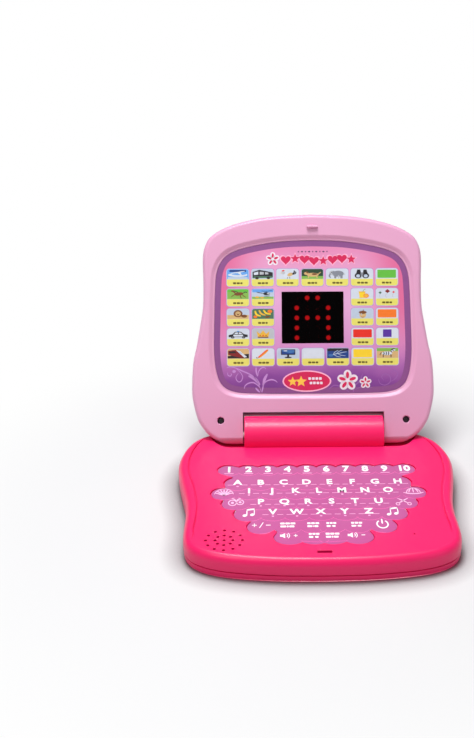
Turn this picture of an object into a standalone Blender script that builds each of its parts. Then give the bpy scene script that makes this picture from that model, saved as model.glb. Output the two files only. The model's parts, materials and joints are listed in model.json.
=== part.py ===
"""A child's toy laptop computer: a base with a film keypad, and a lid that turns on a fat hinge barrel.

Run with: blender --background --python part.py
The origin is on the floor, in the middle of the base. +X is right, -Y is towards the user, +Z is up.
Every dimension is in millimetres. Meshes are scaled to metres as they are made.
The lid is drawn in its own frame: x to the right, l up the lid from the hinge line, n out of its front face.
"""

import math

import bmesh
import bpy
from mathutils import Matrix, Vector

MM = 0.001
GAP = 0.3
CLEAR = 0.1
WALL = 2.0

# Hinge: the line that the lid turns on, and how far the open lid leans back from upright.
AXIS_Y = 96.0
AXIS_Z = 26.0
LEAN = 26.26

# Base heights above the floor.
SEAM = 6.6
CEILING = 18.6
DECK = 21.0
RIM = 22.3

# Edges of the base shells and of the hollow in the upper one: (inset from the outline, height).
TOP_EDGE = [(0, SEAM + GAP / 2), (0, 16.6), (1.2, 20.2), (4.2, RIM)]
TOP_HOLLOW = [(WALL, SEAM - 1), (3.2, CEILING)]
BOTTOM_EDGE = [
    (3.4, 0), (1.2, 0.9), (0.3, 3.0), (0.3, SEAM - GAP / 2),
    (WALL + 0.3, SEAM - GAP / 2), (WALL + 0.5, 4.4), (4.5, 2.0),
]

# Half outlines, from the middle of one end to the middle of the other: (half width, distance).
# Base distances are measured towards the user from the hinge line.
BASE_HALF = [
    (0, -18), (55, -18), (84, -17.2), (101, -12), (112.5, -1), (119.5, 14), (124, 32), (125, 49),
    (122.5, 71), (118.7, 93), (115.2, 114), (113.9, 134), (114.3, 153), (113.8, 170), (110.5, 182),
    (103, 191.5), (89, 199.5), (68, 205), (35, 209), (0, 210),
]
# The sunk part of the deck: it follows the closed lid, then opens out over the whole front.
SUNK_HALF = [
    (0, -26), (96, -26), (103, -6), (109.6, 9), (113.6, 24), (115.8, 42), (114.8, 66), (109.4, 92),
    (105.4, 118), (104.8, 140), (106, 158), (105.8, 170), (108.5, 177), (120, 181), (134, 190),
    (134, 214), (0, 222),
]
# Lid distances are measured up the lid from the hinge line.
LID_HALF = [
    (0, -9), (50, -9), (77, -9), (89.5, -6.4), (99.5, 0.2), (105.8, 8), (109.9, 16), (114, 33),
    (114.7, 46), (113.5, 68), (110, 85), (106.5, 105), (104, 122), (103.6, 145), (104, 166),
    (102.2, 178), (96, 188.5), (81, 197.3), (60, 203.6), (35, 207.4), (0, 209),
]
PANEL_HALF = [
    (0, 38.5), (50, 38.8), (74, 40.5), (86, 47), (91.5, 60), (93.5, 80), (93, 110), (92.3, 135),
    (90.5, 154), (84, 167), (72, 174.5), (50, 180), (25, 183.2), (0, 184),
]

# Barrel and pins.
BARREL_R = 17.5
BARREL_HALF = 65.5
BARREL_WALL = 2.4
PIN_R = 2.8
PIN_BORE_R = 1.7
PIN_FLANGE_R = 4.4
PIN_INNER_X = 58.0
PIN_OUTER_X = 79.0
PIN_PROFILE = [
    (PIN_BORE_R, PIN_INNER_X), (PIN_FLANGE_R, PIN_INNER_X), (PIN_FLANGE_R, PIN_INNER_X + 2.0),
    (PIN_R, PIN_INNER_X + 2.0), (PIN_R, PIN_OUTER_X), (PIN_BORE_R, PIN_OUTER_X),
]

# The opening in the lid that the barrel sits in: (half width, height above the hinge line).
FRONT_CUTOUT = (66.8, 21.0)
BACK_CUTOUT = (65.9, 18.1)
# Ears of the lid: how they are rounded at their lower ends, seen from the side.
EAR_R = 8.5
EAR_N = -4.2
EAR_L = -0.5
# The pocket in the deck that the right ear turns in: (x, distance).
POCKET_PLAN = [
    (64.5, 16.2), (78, 16), (84, 14.2), (88.5, 10.8), (92, 6.4), (94.8, 1.4), (96.8, -3.4), (98.3, -7.6),
    (98.6, -10.8), (95.6, -13), (88, -14.2), (80, -14.6), (64.5, -14.6),
]
POCKET_FLOOR = 13.8
POCKET_WALL = 1.6

# Lid depths, along n.
LID_FRONT = 4.0
LID_SEAM = -5.0
LID_BACK = -14.0
PANEL_TOP = 1.5
PANEL_BOTTOM = 0.5
PANEL_FLOOR = 0.4
PANEL_FLOOR_BACK = -1.4
# Edges of the lid and of the well that holds the screen panel: (inset from the outline, n).
LID_FRONT_EDGE = [(3.2, LID_FRONT), (1.0, LID_FRONT - 0.7), (0, LID_FRONT - 3.5), (0, LID_SEAM)]
LID_FRONT_HOLLOW = [(WALL, LID_SEAM - 1), (3.2, LID_FRONT - 1.8)]
LID_BACK_EDGE = [(0, LID_SEAM - GAP), (0, -9.5), (2.2, -13.0), (6.5, LID_BACK)]
LID_BACK_HOLLOW = [(WALL, LID_SEAM - GAP + 1), (WALL, -9), (7.0, LID_BACK + WALL + 0.2)]
WELL_EDGE = [(-3.4, LID_FRONT + 1), (-2.6, LID_FRONT - 0.6), (-0.3, PANEL_TOP), (-0.3, PANEL_FLOOR)]
WELL_WALL = [(-4.6, LID_FRONT + 1), (-2.2, PANEL_FLOOR_BACK)]

# LED matrix.
WINDOW_WIDE = 59.0
WINDOW_LOW = 86.0
WINDOW_HIGH = 135.3
WINDOW_LIP = 2.0
LED_COLUMNS = 4
LED_ROWS = 5
LED_PITCH_X = 10.0
LED_PITCH_L = 9.5
LED_R = 2.4
LED_LENS = [(LED_R, -2.0), (LED_R * 0.7, -0.4), (0, 0.1)]
LED_BOARD_TOP = -6.0
LED_BOARD_HALF = 36.0
LED_BOARD_POST_X = 34.0

# Lid screws, at the bottom of round recesses, and the tab that keeps the lid shut.
LID_SCREW_X = 87.7
LID_SCREW_L = 13.3
LID_SCREW_HEAD = -0.4
LID_SCREW_TIP = 11.0
RECESS_R = 3.25
RECESS_FLOOR = -1.6
TAB_L = 196.5
TAB_WIDE = 10.4
TAB_DEEP = 2.0
TAB_TALL = 3.0
SLOT_WIDE = 12.0
SLOT_DEEP = 3.2

# Keypad rows: (distance of the row, x of its keys, half width and half depth of one key area).
LETTER_PITCH = 20.2
DIGIT_PITCH = 17.5
KEY_DROP = 3.0


def spread(count, pitch):
    return [(i - (count - 1) / 2) * pitch for i in range(count)]


KEY_ROWS = [
    (57.6, spread(10, DIGIT_PITCH), 10.0, 9.6),
    (82.5, spread(8, LETTER_PITCH), 11.5, 12.0),
    (99.8, spread(7, LETTER_PITCH) + [-82.3, 82.3], 10.8, 10.5),
    (117.0, spread(6, LETTER_PITCH) + [-71.5, 71.5], 12.2, 10.5),
    (134.3, spread(5, LETTER_PITCH) + [-60.5, 60.5], 12.5, 11.5),
    (154.5, [-50, -28, -7, 8, 29, 50], 11.8, 11.0),
    (171.1, [-27, -7, 8, 28], 13.0, 10.6),
]
KEYPAD_MIDDLE = 105.0
KEYPAD_SINK = 1.8
FILM = 0.4
TAIL_HALF = 8.0
TAIL_Y = 8.0

# Speaker, with its grille: (ring radius, holes).
SPEAKER_X = -80.2
SPEAKER_D = 178.4
# Turned profiles of the speaker, from the ceiling down: (radius, height).
BASKET = [(18.0, 0), (15.6, 0), (15.6, -0.8), (9.0, -4.0), (9.0, -4.8), (12.0, -4.8), (18.0, -1.2)]
CONE = [(15.3, -0.7), (15.0, -0.45), (8.2, -3.0), (0, -3.0), (0, -3.5), (8.6, -3.5)]
MAGNET = [(0, -11.0), (9.5, -11.0), (9.5, -5.1), (0, -5.1)]
GRILLE_RINGS = [(0.0, 1), (7.2, 8), (14.8, 12)]
GRILLE_HOLE_R = 1.2
SMALL_HOLE_X = 74.3
SMALL_HOLE_D = 171.7
SMALL_HOLE_R = 0.9

# Battery compartment, and the door under it.
BAY_HALF_X = 27.2
BAY_FRONT = 22.0
BAY_BACK = 66.4
BAY_TOP = 13.6
BAY_WALL = 1.5
CELL_R = 5.25
CELL_LONG = 44.5
CELL_NUB = 1.0
CELL_NUB_R = 1.9
CELL_PITCH = 11.2
CELL_Y = 41.0
CELL_Z = 7.75
DOOR_GAP = 0.4
DOOR_TOP = 1.9
DOOR_BOTTOM = 0.1
DOOR_TAB_X = 15.0
DOOR_TAB_HALF = 4.0
DOOR_SCREW_Y = 62.4
FLOOR_TOP = 2.0

# Fasteners.
SCREW_R = 1.25
HEAD_R = 2.9
HEAD_TALL = 1.8
BASE_SCREWS = [(-98, 72), (98, 72), (-100, -18), (100, -18), (-45, -97), (45, -97)]
BOSS_LOW = 6.0
SHOULDER_LOW = 4.0
SHOULDER_HIGH = 5.6

# Main board.
BOARD_HALF_X = 40.0
BOARD_FRONT = -55.0
BOARD_BACK = 10.0
BOARD_LOW = 9.0
BOARD_THICK = 1.2
BOARD_SCREW = (0.0, -48.0)
BOARD_POSTS = [(-34, -49), (34, -49), (-34, 4), (34, 4)]
BOARD_TOP = BOARD_LOW + BOARD_THICK
CHIP_PLACE = (12, -20, BOARD_TOP)
CHIP_DOME = [(0, CLEAR), (7.5, CLEAR), (6.6, 1.0), (4.0, 1.8), (0, 2.1)]
CAN_PLACE = (-22, -30, BOARD_TOP)
CAN = [(0, CLEAR), (3.0, CLEAR), (3.0, 5.0), (0, 5.0)]

# Wires, as points to run through. The lid's cable is in the frame of the lid.
CABLE_R = 1.2
WIRE_R = 0.7
COIL_WIRE_R = 0.35
SPEAKER_CABLE = [
    (SPEAKER_X + 19.5, AXIS_Y - SPEAKER_D + 4, 10.5), (-54, -70, 8), (-47, -55, 8), (-44, -35, 10),
    (-42, -26, 12.4), (-36, -24, 12.6),
]
RED_WIRE = [(BAY_HALF_X - 3, BAY_FRONT - 0.9, 12.4), (20, 16, 12.6), (14, 9, 12.4), (12, 4, 11.2)]
BLACK_WIRE = [(3 - BAY_HALF_X, BAY_FRONT - 0.9, 12.4), (-21, 16, 12.6), (-16, 9, 12.4), (-14, 4, 11.2)]
DISPLAY_CABLE_BASE = [
    (-30, 2, 12.6), (-33, 10, 12.9), (-36, 40, 12.5), (-44, 68, 12.5), (-50, 82, 14), (-52, 92, 22),
    (-53, AXIS_Y, AXIS_Z - 0.6), (-55, AXIS_Y, AXIS_Z), (0.4 - PIN_INNER_X, AXIS_Y, AXIS_Z),
]
DISPLAY_CABLE_LID = [
    (-0.1 - PIN_INNER_X, 0, 0), (-70, 0, 0), (-80, 0, 0), (-82.5, 3, -1.5), (-82, 12, -5), (-78, 28, -8),
    (-60, 60, -9.6), (-44, 84, -9.6), (-30, 95, -8.8),
]

PINK = (0.93, 0.03, 0.19)
LIGHT_PINK = (0.78, 0.38, 0.62)


# ---------------------------------------------------------------- outlines

def smooth(points, steps):
    """Points along a Catmull-Rom curve through the given ones, with the first and last kept."""
    ends = [Vector(points[0]), *map(Vector, points), Vector(points[-1])]
    curve = []
    for a, b, c, d in zip(ends, ends[1:], ends[2:], ends[3:]):
        for i in range(steps):
            t = i / steps
            linear = (c - a) * t
            square = (2 * a - 5 * b + 4 * c - d) * t * t
            cube = (3 * b - 3 * c + d - a) * t ** 3
            curve.append(b + (linear + square + cube) / 2)
    curve.append(Vector(points[-1]))
    return curve


def mirrored(half, steps=2):
    """A closed, anticlockwise loop from a half outline that starts and ends on the middle line."""
    right = smooth(half, steps)
    left = [Vector((-p.x, p.y)) for p in right[-2:0:-1]]
    return anticlockwise(right + left)


def anticlockwise(loop):
    area = sum(a.x * b.y - b.x * a.y for a, b in zip(loop, loop[1:] + loop[:1]))
    return loop if area > 0 else loop[::-1]


def from_hinge(half):
    """A base half outline, turned from distances in front of the hinge line into Y."""
    return [(x, AXIS_Y - d) for x, d in half]


def inset_loop(loop, inset):
    """The loop moved inwards by inset, or outwards where inset is negative."""
    moved = []
    for i, point in enumerate(loop):
        along = (loop[(i + 1) % len(loop)] - loop[i - 1]).normalized()
        moved.append(point + Vector((-along.y, along.x)) * inset)
    return moved


def keypad_loop(margin=0.0):
    """The scalloped edge of the keypad: the farthest point of any key area, all the way round."""
    loop = []
    turns = 100
    for i in range(turns):
        angle = 2 * math.pi * i / turns
        ray = Vector((math.cos(angle), math.sin(angle)))
        reach = 0.0
        for distance, keys, half_wide, half_deep in KEY_ROWS:
            for x in keys:
                centre = Vector((x, KEYPAD_MIDDLE - distance - KEY_DROP))
                reach = max(reach, ellipse_reach(ray, centre, half_wide, half_deep))
        loop.append(Vector((0, AXIS_Y - KEYPAD_MIDDLE)) + ray * (reach + margin))
    return loop


def ellipse_reach(ray, centre, half_wide, half_deep):
    """How far along a ray from the origin the far side of an ellipse is, or 0 where the ray misses it."""
    u = Vector((ray.x / half_wide, ray.y / half_deep))
    c = Vector((centre.x / half_wide, centre.y / half_deep))
    a = u.dot(u)
    b = u.dot(c)
    inside = b * b - a * (c.dot(c) - 1)
    return (b + math.sqrt(inside)) / a if inside >= 0 and b > 0 else 0.0


# ---------------------------------------------------------------- solids

def solid(name, points, faces):
    """An object from points in millimetres, with its faces turned outwards."""
    mesh = bpy.data.meshes.new(name)
    mesh.from_pydata([Vector(p) * MM for p in points], [], faces)
    shape = bmesh.new()
    shape.from_mesh(mesh)
    bmesh.ops.recalc_face_normals(shape, faces=shape.faces)
    shape.to_mesh(mesh)
    shape.free()
    made = bpy.data.objects.new(name, mesh)
    bpy.context.scene.collection.objects.link(made)
    return made


def loft(name, loop, profile):
    """A solid with one ring for each (inset, height), closed by its first and last rings."""
    count = len(loop)
    points = []
    for inset, height in profile:
        points += [(p.x, p.y, height) for p in inset_loop(loop, inset)]
    faces = [list(range(count)), list(range(len(points) - count, len(points)))]
    for ring in range(len(profile) - 1):
        start = ring * count
        for i in range(count):
            j = (i + 1) % count
            faces.append([start + i, start + j, start + count + j, start + count + i])
    return solid(name, points, faces)


def prism(name, loop, low, high):
    return loft(name, [Vector(p) for p in loop], [(0, low), (0, high)])


def box(name, low, high):
    corners = [(low[0], low[1]), (high[0], low[1]), (high[0], high[1]), (low[0], high[1])]
    return prism(name, corners, low[2], high[2])


def turned(name, profile, segments=24, ring=False):
    """A solid turned about Z from (radius, height) points. With ring, the profile is a closed loop."""
    points = []
    rows = []
    for radius, height in profile:
        if radius == 0:
            rows.append([len(points)] * segments)
            points.append((0, 0, height))
            continue
        rows.append(list(range(len(points), len(points) + segments)))
        for i in range(segments):
            angle = 2 * math.pi * i / segments
            points.append((radius * math.cos(angle), radius * math.sin(angle), height))
    faces = []
    for lower, upper in zip(rows, rows[1:] + rows[:1] if ring else rows[1:]):
        for i in range(segments):
            j = (i + 1) % segments
            face = [lower[i], lower[j], upper[j], upper[i]]
            faces.append(list(dict.fromkeys(face)))
    return solid(name, points, [f for f in faces if len(f) > 2])


TO_X = Matrix.Rotation(math.radians(90), 4, "Y")
TO_MINUS_X = Matrix.Rotation(math.radians(-90), 4, "Y")


def moved(made, place, turn=None):
    """Turns a solid's mesh, then shifts it by a place in millimetres."""
    if turn:
        made.data.transform(turn)
    made.data.transform(Matrix.Translation(Vector(place) * MM))
    return made


def rod(name, radius, low, high, x, y, segments=20):
    """An upright cylinder."""
    return moved(turned(name, [(0, low), (radius, low), (radius, high), (0, high)], segments), (x, y, 0))


def cross_rod(name, radius, left, right, y, z, segments=32):
    """A cylinder along X."""
    made = turned(name, [(0, left), (radius, left), (radius, right), (0, right)], segments)
    return moved(made, (0, y, z), TO_X)


def swept(name, path, radius, wide=1.0, steps=2, side=(0, 0, 1), sides=6):
    """A round cable along a path, or an oval one where wide is over 1. Its first ring starts from side."""
    path = [Vector(p) for p in smooth(path, steps)]
    points = []
    side = Vector(side)
    for i, point in enumerate(path):
        along = (path[min(i + 1, len(path) - 1)] - path[max(i - 1, 0)]).normalized()
        side = (side - along * side.dot(along)).normalized()
        across = along.cross(side)
        for k in range(sides):
            angle = 2 * math.pi * k / sides
            out = across * (math.cos(angle) * radius * wide) + side * (math.sin(angle) * radius)
            points.append(point + out)
    faces = [list(range(sides)), list(range(len(points) - sides, len(points)))]
    for ring in range(len(path) - 1):
        for k in range(sides):
            n = (k + 1) % sides
            a = ring * sides
            faces.append([a + k, a + n, a + sides + n, a + sides + k])
    return solid(name, points, faces)


def boolean_mesh(target, other, operation, solver):
    step = target.modifiers.new("step", "BOOLEAN")
    step.operation = operation
    step.solver = solver
    step.object = other
    graph = bpy.context.evaluated_depsgraph_get()
    result = bpy.data.meshes.new_from_object(target.evaluated_get(graph))
    target.modifiers.clear()
    return result


def is_closed(mesh):
    shape = bmesh.new()
    shape.from_mesh(mesh)
    closed = all(edge.is_manifold for edge in shape.edges)
    shape.free()
    return closed


def combine(target, others, operation):
    """Applies a Boolean of the target with each of the others, which are used up."""
    for other in others:
        result = boolean_mesh(target, other, operation, "EXACT")
        if not is_closed(result):
            result = boolean_mesh(target, other, operation, "MANIFOLD")
        target.data = result
        bpy.data.objects.remove(other)
    return target


def cut(target, *others):
    return combine(target, others, "DIFFERENCE")


def join(target, *others):
    return combine(target, others, "UNION")


# ---------------------------------------------------------------- materials

MATERIALS = {
    "shell_pink": (PINK, 0.35, 0.0),
    "lid_pink": (LIGHT_PINK, 0.4, 0.0),
    "keypad_print": ((0.75, 0.12, 0.45), 0.4, 0.0),
    "foil": ((0.8, 0.82, 0.78), 0.4, 0.0),
    "panel_print": ((0.62, 0.25, 0.5), 0.3, 0.0),
    "window_black": ((0.01, 0.01, 0.01), 0.1, 0.0),
    "led_red": ((0.8, 0.02, 0.02), 0.2, 0.0),
    "board_green": ((0.02, 0.12, 0.05), 0.5, 0.0),
    "resin_black": ((0.01, 0.01, 0.012), 0.35, 0.0),
    "steel": ((0.6, 0.6, 0.62), 0.3, 1.0),
    "pin_plastic": ((0.75, 0.72, 0.74), 0.45, 0.0),
    "cable_grey": ((0.3, 0.3, 0.32), 0.5, 0.0),
    "wire_red": ((0.6, 0.02, 0.02), 0.5, 0.0),
    "wire_black": ((0.02, 0.02, 0.02), 0.5, 0.0),
    "speaker_paper": ((0.05, 0.05, 0.055), 0.9, 0.0),
    "cell_wrap": ((0.05, 0.2, 0.25), 0.35, 0.0),
}


def material(name):
    """The named material, made the first time that it is asked for."""
    found = bpy.data.materials.get(name)
    if found:
        return found
    colour, roughness, metallic = MATERIALS[name]
    made = bpy.data.materials.new(name)
    made.use_nodes = True
    shader = made.node_tree.nodes["Principled BSDF"]
    shader.inputs["Base Color"].default_value = (*colour, 1)
    shader.inputs["Roughness"].default_value = roughness
    shader.inputs["Metallic"].default_value = metallic
    return made


def finish(made, material_name, pivot=None):
    """Gives a finished piece its material and smooth shading, and hangs a moving one from its joint."""
    made.data.materials.clear()
    made.data.materials.append(material(material_name))
    made.data.shade_smooth()
    made.data.set_sharp_from_angle(angle=math.radians(35))
    made.parent = pivot


# ---------------------------------------------------------------- base shells

def ear_pocket(name, side, wall):
    """The hollow in the deck that one ear turns in, or with a wall the block of plastic around it."""
    plan = anticlockwise([Vector((side * x, AXIS_Y - d)) for x, d in POCKET_PLAN])
    return prism(name, inset_loop(plan, -wall), POCKET_FLOOR - wall, DECK + 10)


def barrel_arch(name, radius, half_long, bottom):
    """The hinge barrel: round above the hinge line, and straight down to the bottom below it."""
    turns = 20
    arc = [math.pi * i / turns for i in range(turns + 1)]
    loop = [(AXIS_Z + radius * math.sin(a), AXIS_Y + radius * math.cos(a)) for a in arc]
    loop += [(bottom, AXIS_Y - radius), (bottom, AXIS_Y + radius)]
    made = prism(name, anticlockwise([Vector((z, y)) for z, y in loop]), -half_long, half_long)
    made.data.transform(Matrix(((0, 0, 1, 0), (0, 1, 0, 0), (1, 0, 0, 0), (0, 0, 0, 1))))
    made.data.flip_normals()
    return made


def base_top_shell():
    shell = loft("base_top_shell", mirrored(from_hinge(BASE_HALF)), TOP_EDGE)
    cut(shell, prism("sunk", mirrored(from_hinge(SUNK_HALF)), DECK, RIM + 5))
    for side in (-1, 1):
        cut(shell, ear_pocket("pocket", side, 0))
    join(shell, barrel_arch("arch", BARREL_R, BARREL_HALF, SEAM + 1.2))
    hollow = loft("hollow", mirrored(from_hinge(BASE_HALF), 1), TOP_HOLLOW)
    for side in (-1, 1):
        cut(hollow, ear_pocket("pocket_walls", side, POCKET_WALL))
    inside = barrel_arch("inside", BARREL_R - BARREL_WALL, BARREL_HALF - BARREL_WALL, SEAM - 0.4)
    cut(shell, hollow, inside)
    for x, y in BASE_SCREWS:
        join(shell, rod("boss", 3.2, BOSS_LOW, CEILING + 0.8, x, y, 12))
        cut(shell, rod("pilot", SCREW_R + GAP, BOSS_LOW - 1, CEILING - 1.2, x, y, 8))
    cut(shell, prism("sink", keypad_loop(GAP), DECK - KEYPAD_SINK, DECK + 5))
    low = (-TAIL_HALF - 1, TAIL_Y - 0.8, CEILING - 2)
    cut(shell, box("tail_slot", low, (TAIL_HALF + 1, TAIL_Y + 1.2, DECK + 1)))
    front = (-SLOT_WIDE / 2, AXIS_Y - TAB_L - SLOT_DEEP / 2, CEILING - 2)
    cut(shell, box("slot", front, (SLOT_WIDE / 2, AXIS_Y - TAB_L + SLOT_DEEP / 2, RIM)))
    for x, y in grille_holes():
        cut(shell, rod("hole", GRILLE_HOLE_R, CEILING - 2, RIM + 2, x, y, 6))
    cut(shell, rod("hole", SMALL_HOLE_R, CEILING - 2, RIM + 2, SMALL_HOLE_X, AXIS_Y - SMALL_HOLE_D, 8))
    cut(shell, cross_rod("bore", PIN_R + GAP, -80, 80, AXIS_Y, AXIS_Z, 20))
    finish(shell, "shell_pink")


def grille_holes():
    places = []
    for radius, count in GRILLE_RINGS:
        for i in range(count):
            angle = 2 * math.pi * i / count
            x = SPEAKER_X + radius * math.cos(angle)
            places.append((x, AXIS_Y - SPEAKER_D + radius * math.sin(angle)))
    return places


def battery_bay():
    """The walls and roof of the compartment, as a block that joins the bottom shell."""
    low = (-BAY_HALF_X - BAY_WALL, BAY_FRONT - BAY_WALL, 1.0)
    high = (BAY_HALF_X + BAY_WALL, BAY_BACK + BAY_WALL, BAY_TOP + BAY_WALL)
    return box("bay", low, high)


def base_bottom_shell():
    shell = loft("base_bottom_shell", mirrored(from_hinge(BASE_HALF)), BOTTOM_EDGE)
    join(shell, battery_bay())
    cut(shell, box("bay_hollow", (-BAY_HALF_X, BAY_FRONT, -1), (BAY_HALF_X, BAY_BACK, BAY_TOP)))
    web = box("web", (-1.0, DOOR_SCREW_Y + 2.9, DOOR_TOP + 0.9), (1.0, BAY_BACK + 0.5, BAY_TOP + 0.5))
    join(shell, web, rod("boss", 3.6, DOOR_TOP + 0.4, BAY_TOP + 0.6, 0, DOOR_SCREW_Y, 16))
    cut(shell, rod("pilot", SCREW_R + 1.2, -1, BAY_TOP - 2, 0, DOOR_SCREW_Y, 12))
    for side in (-1, 1):
        x = side * DOOR_TAB_X
        half = DOOR_TAB_HALF + 0.5
        low = (x - half, BAY_FRONT - 4, FLOOR_TOP + CLEAR)
        cut(shell, box("tab_slot", low, (x + half, BAY_FRONT + 1, FLOOR_TOP + 4.2)))
    low = (2 - BAY_HALF_X, BAY_FRONT - 3, BAY_TOP - 2.4)
    cut(shell, box("wire_gate", low, (BAY_HALF_X - 2, BAY_FRONT + 1, BAY_TOP)))
    for x, y in BASE_SCREWS:
        join(shell, rod("pillar", 5.0, 1.0, SHOULDER_HIGH, x, y, 16))
        cut(shell, rod("counterbore", HEAD_R + 0.5, -1, SHOULDER_LOW, x, y, 16))
        cut(shell, rod("screw_hole", SCREW_R + GAP, 1, BOSS_LOW + 1, x, y, 8))
    for x, y in BOARD_POSTS:
        join(shell, rod("post", 2.5, FLOOR_TOP - 1, BOARD_LOW - CLEAR, x, y, 8))
    join(shell, rod("board_post", 3.0, FLOOR_TOP - 1, BOARD_LOW - CLEAR, *BOARD_SCREW, 16))
    cut(shell, rod("board_pilot", SCREW_R + GAP, FLOOR_TOP + 0.5, BOARD_LOW + 1, *BOARD_SCREW, 12))
    finish(shell, "shell_pink")


def screw(name, head_low, tip, x, y, material_name="steel", pivot=None):
    """A pan-head screw, its head at the bottom and its tip at the top."""
    shoulder = head_low + HEAD_TALL
    profile = [(0, head_low), (HEAD_R * 0.75, head_low), (HEAD_R, head_low + 0.7), (HEAD_R, shoulder)]
    profile += [(SCREW_R, shoulder), (SCREW_R, tip - 1.2), (0.4, tip), (0, tip)]
    made = turned(name, profile, 12)
    finish(moved(made, (x, y, 0)), material_name, pivot)
    return made


# ---------------------------------------------------------------- base contents

def keypad():
    low = DECK - KEYPAD_SINK + CLEAR
    film_low = low + FILM + CLEAR
    membrane = prism("keypad_membrane", keypad_loop(-1.0), low, low + FILM)
    tail = (-TAIL_HALF, TAIL_Y, BOARD_TOP + 2 * CLEAR)
    join(membrane, box("tail", tail, (TAIL_HALF, TAIL_Y + FILM, low + FILM / 2)))
    finish(membrane, "foil")
    finish(prism("keypad_overlay", keypad_loop(0), film_low, film_low + FILM), "keypad_print")


def main_board():
    low = (-BOARD_HALF_X, BOARD_FRONT, BOARD_LOW)
    board = box("main_board", low, (BOARD_HALF_X, BOARD_BACK, BOARD_TOP))
    cut(board, rod("hole", SCREW_R + GAP, BOARD_LOW - 1, BOARD_TOP + 1, *BOARD_SCREW, 12))
    finish(board, "board_green")
    finish(moved(turned("chip_blob", CHIP_DOME, 20), CHIP_PLACE), "resin_black")
    finish(moved(turned("capacitor", CAN, 16), CAN_PLACE), "cable_grey")
    bolt = screw("board_screw", -BOARD_TOP - CLEAR - HEAD_TALL, -FLOOR_TOP - 2, 0, 0)
    moved(bolt, (*BOARD_SCREW, 0), Matrix.Rotation(math.pi, 4, "X"))


def speaker():
    place = (SPEAKER_X, AXIS_Y - SPEAKER_D, CEILING - 0.2)
    finish(moved(turned("speaker_frame", BASKET, 24, ring=True), place), "steel")
    finish(moved(turned("speaker_cone", CONE, 24, ring=True), place), "speaker_paper")
    finish(moved(turned("speaker_magnet", MAGNET, 24), place), "steel")
    finish(swept("speaker_cable", SPEAKER_CABLE, WIRE_R, 2.0), "wire_black")


def cell(name, y, forward):
    """One battery, its button towards +X where forward is 1."""
    end = CELL_LONG / 2 - CELL_NUB
    profile = [(0, -CELL_LONG / 2), (CELL_R - 0.5, -CELL_LONG / 2), (CELL_R, -CELL_LONG / 2 + 0.5)]
    profile += [(CELL_R, end - 0.5), (CELL_R - 0.5, end), (CELL_NUB_R, end)]
    profile += [(CELL_NUB_R, CELL_LONG / 2), (0, CELL_LONG / 2)]
    turn = TO_X if forward > 0 else TO_MINUS_X
    finish(moved(turned(name, profile, 16), (0, y, CELL_Z), turn), "cell_wrap")


def coil(side, y):
    """A contact spring that narrows from its plate towards the cell."""
    start = BAY_HALF_X - 0.8
    end = CELL_LONG / 2 + 0.7
    turns = 2.5
    count = 14
    path = []
    for i in range(count + 1):
        t = i / count
        angle = 2 * math.pi * turns * t
        radius = 3.6 - 1.6 * t
        x = side * (start + (end - start) * t)
        path.append(Vector((x, y + radius * math.cos(angle), CELL_Z + radius * math.sin(angle))))
    return swept("coil", path, COIL_WIRE_R, steps=1, side=(1, 0, 0))


def contact(name, side, button_y, spring_y):
    """A contact plate with a button for a cell's positive end, a spring for a negative end, or both."""
    centres = [y for y in (button_y, spring_y) if y is not None]
    near, far = sorted((side * (BAY_HALF_X - 0.9), side * (BAY_HALF_X - 0.4)))
    half = CELL_R - 0.4
    low = (near, min(centres) - half, CELL_Z - half)
    plate = box(name, low, (far, max(centres) + half, CELL_Z + half))
    if button_y is not None:
        tip = CELL_LONG / 2 + 0.3
        button = [(0, BAY_HALF_X - 0.6), (2.6, BAY_HALF_X - 0.6), (1.4, tip), (0, tip)]
        turn = TO_X if side > 0 else TO_MINUS_X
        join(plate, moved(turned("button", button[::-1], 12), (0, button_y, CELL_Z), turn))
    if spring_y is not None:
        join(plate, coil(side, spring_y))
    finish(plate, "steel")


def batteries():
    rows = [CELL_Y - CELL_PITCH, CELL_Y, CELL_Y + CELL_PITCH]
    for i, y in enumerate(rows):
        cell(f"battery_{i + 1}", y, 1 if i % 2 == 0 else -1)
    contact("contact_positive", 1, rows[2], None)
    contact("contact_link_1", -1, rows[1], rows[2])
    contact("contact_link_2", 1, rows[0], rows[1])
    contact("contact_negative", -1, None, rows[0])
    finish(swept("battery_wire_red", RED_WIRE, WIRE_R), "wire_red")
    finish(swept("battery_wire_black", BLACK_WIRE, WIRE_R), "wire_black")


def battery_door(pivot):
    """The door, drawn from its hinge line: the lower corner of the opening that its tabs hook over."""
    depth = BAY_BACK - BAY_FRONT
    half = BAY_HALF_X - DOOR_GAP
    door = box("battery_door", (-half, DOOR_GAP, DOOR_BOTTOM), (half, depth - DOOR_GAP, DOOR_TOP))
    for side in (-1, 1):
        x = side * DOOR_TAB_X
        low = (x - DOOR_TAB_HALF, -2.6, FLOOR_TOP + 0.4)
        arm = box("tab", low, (x + DOOR_TAB_HALF, 3.0, FLOOR_TOP + 1.8))
        low = (x - DOOR_TAB_HALF + 0.3, 0.6, DOOR_TOP - 0.5)
        root = box("root", low, (x + DOOR_TAB_HALF - 0.3, 2.6, FLOOR_TOP + 0.6))
        join(door, root, arm)
    screw_y = DOOR_SCREW_Y - BAY_FRONT
    cut(door, rod("counterbore", HEAD_R + 0.4, -1, 0.9, 0, screw_y))
    cut(door, rod("screw_hole", SCREW_R + 0.2, 0, DOOR_TOP + 1, 0, screw_y, 12))
    finish(door, "shell_pink", pivot)


def door_screw(pivot):
    """A flat-headed screw that stays in the door."""
    profile = [(0, 0.2), (2.6, 0.2), (2.6, 0.7), (SCREW_R - 0.1, 0.75)]
    profile += [(SCREW_R - 0.1, 7.0), (0.4, 8.2), (0, 8.2)]
    made = turned("battery_door_screw", profile, 14)
    finish(moved(made, (0, DOOR_SCREW_Y - BAY_FRONT, 0)), "steel", pivot)


# ---------------------------------------------------------------- lid

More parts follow.
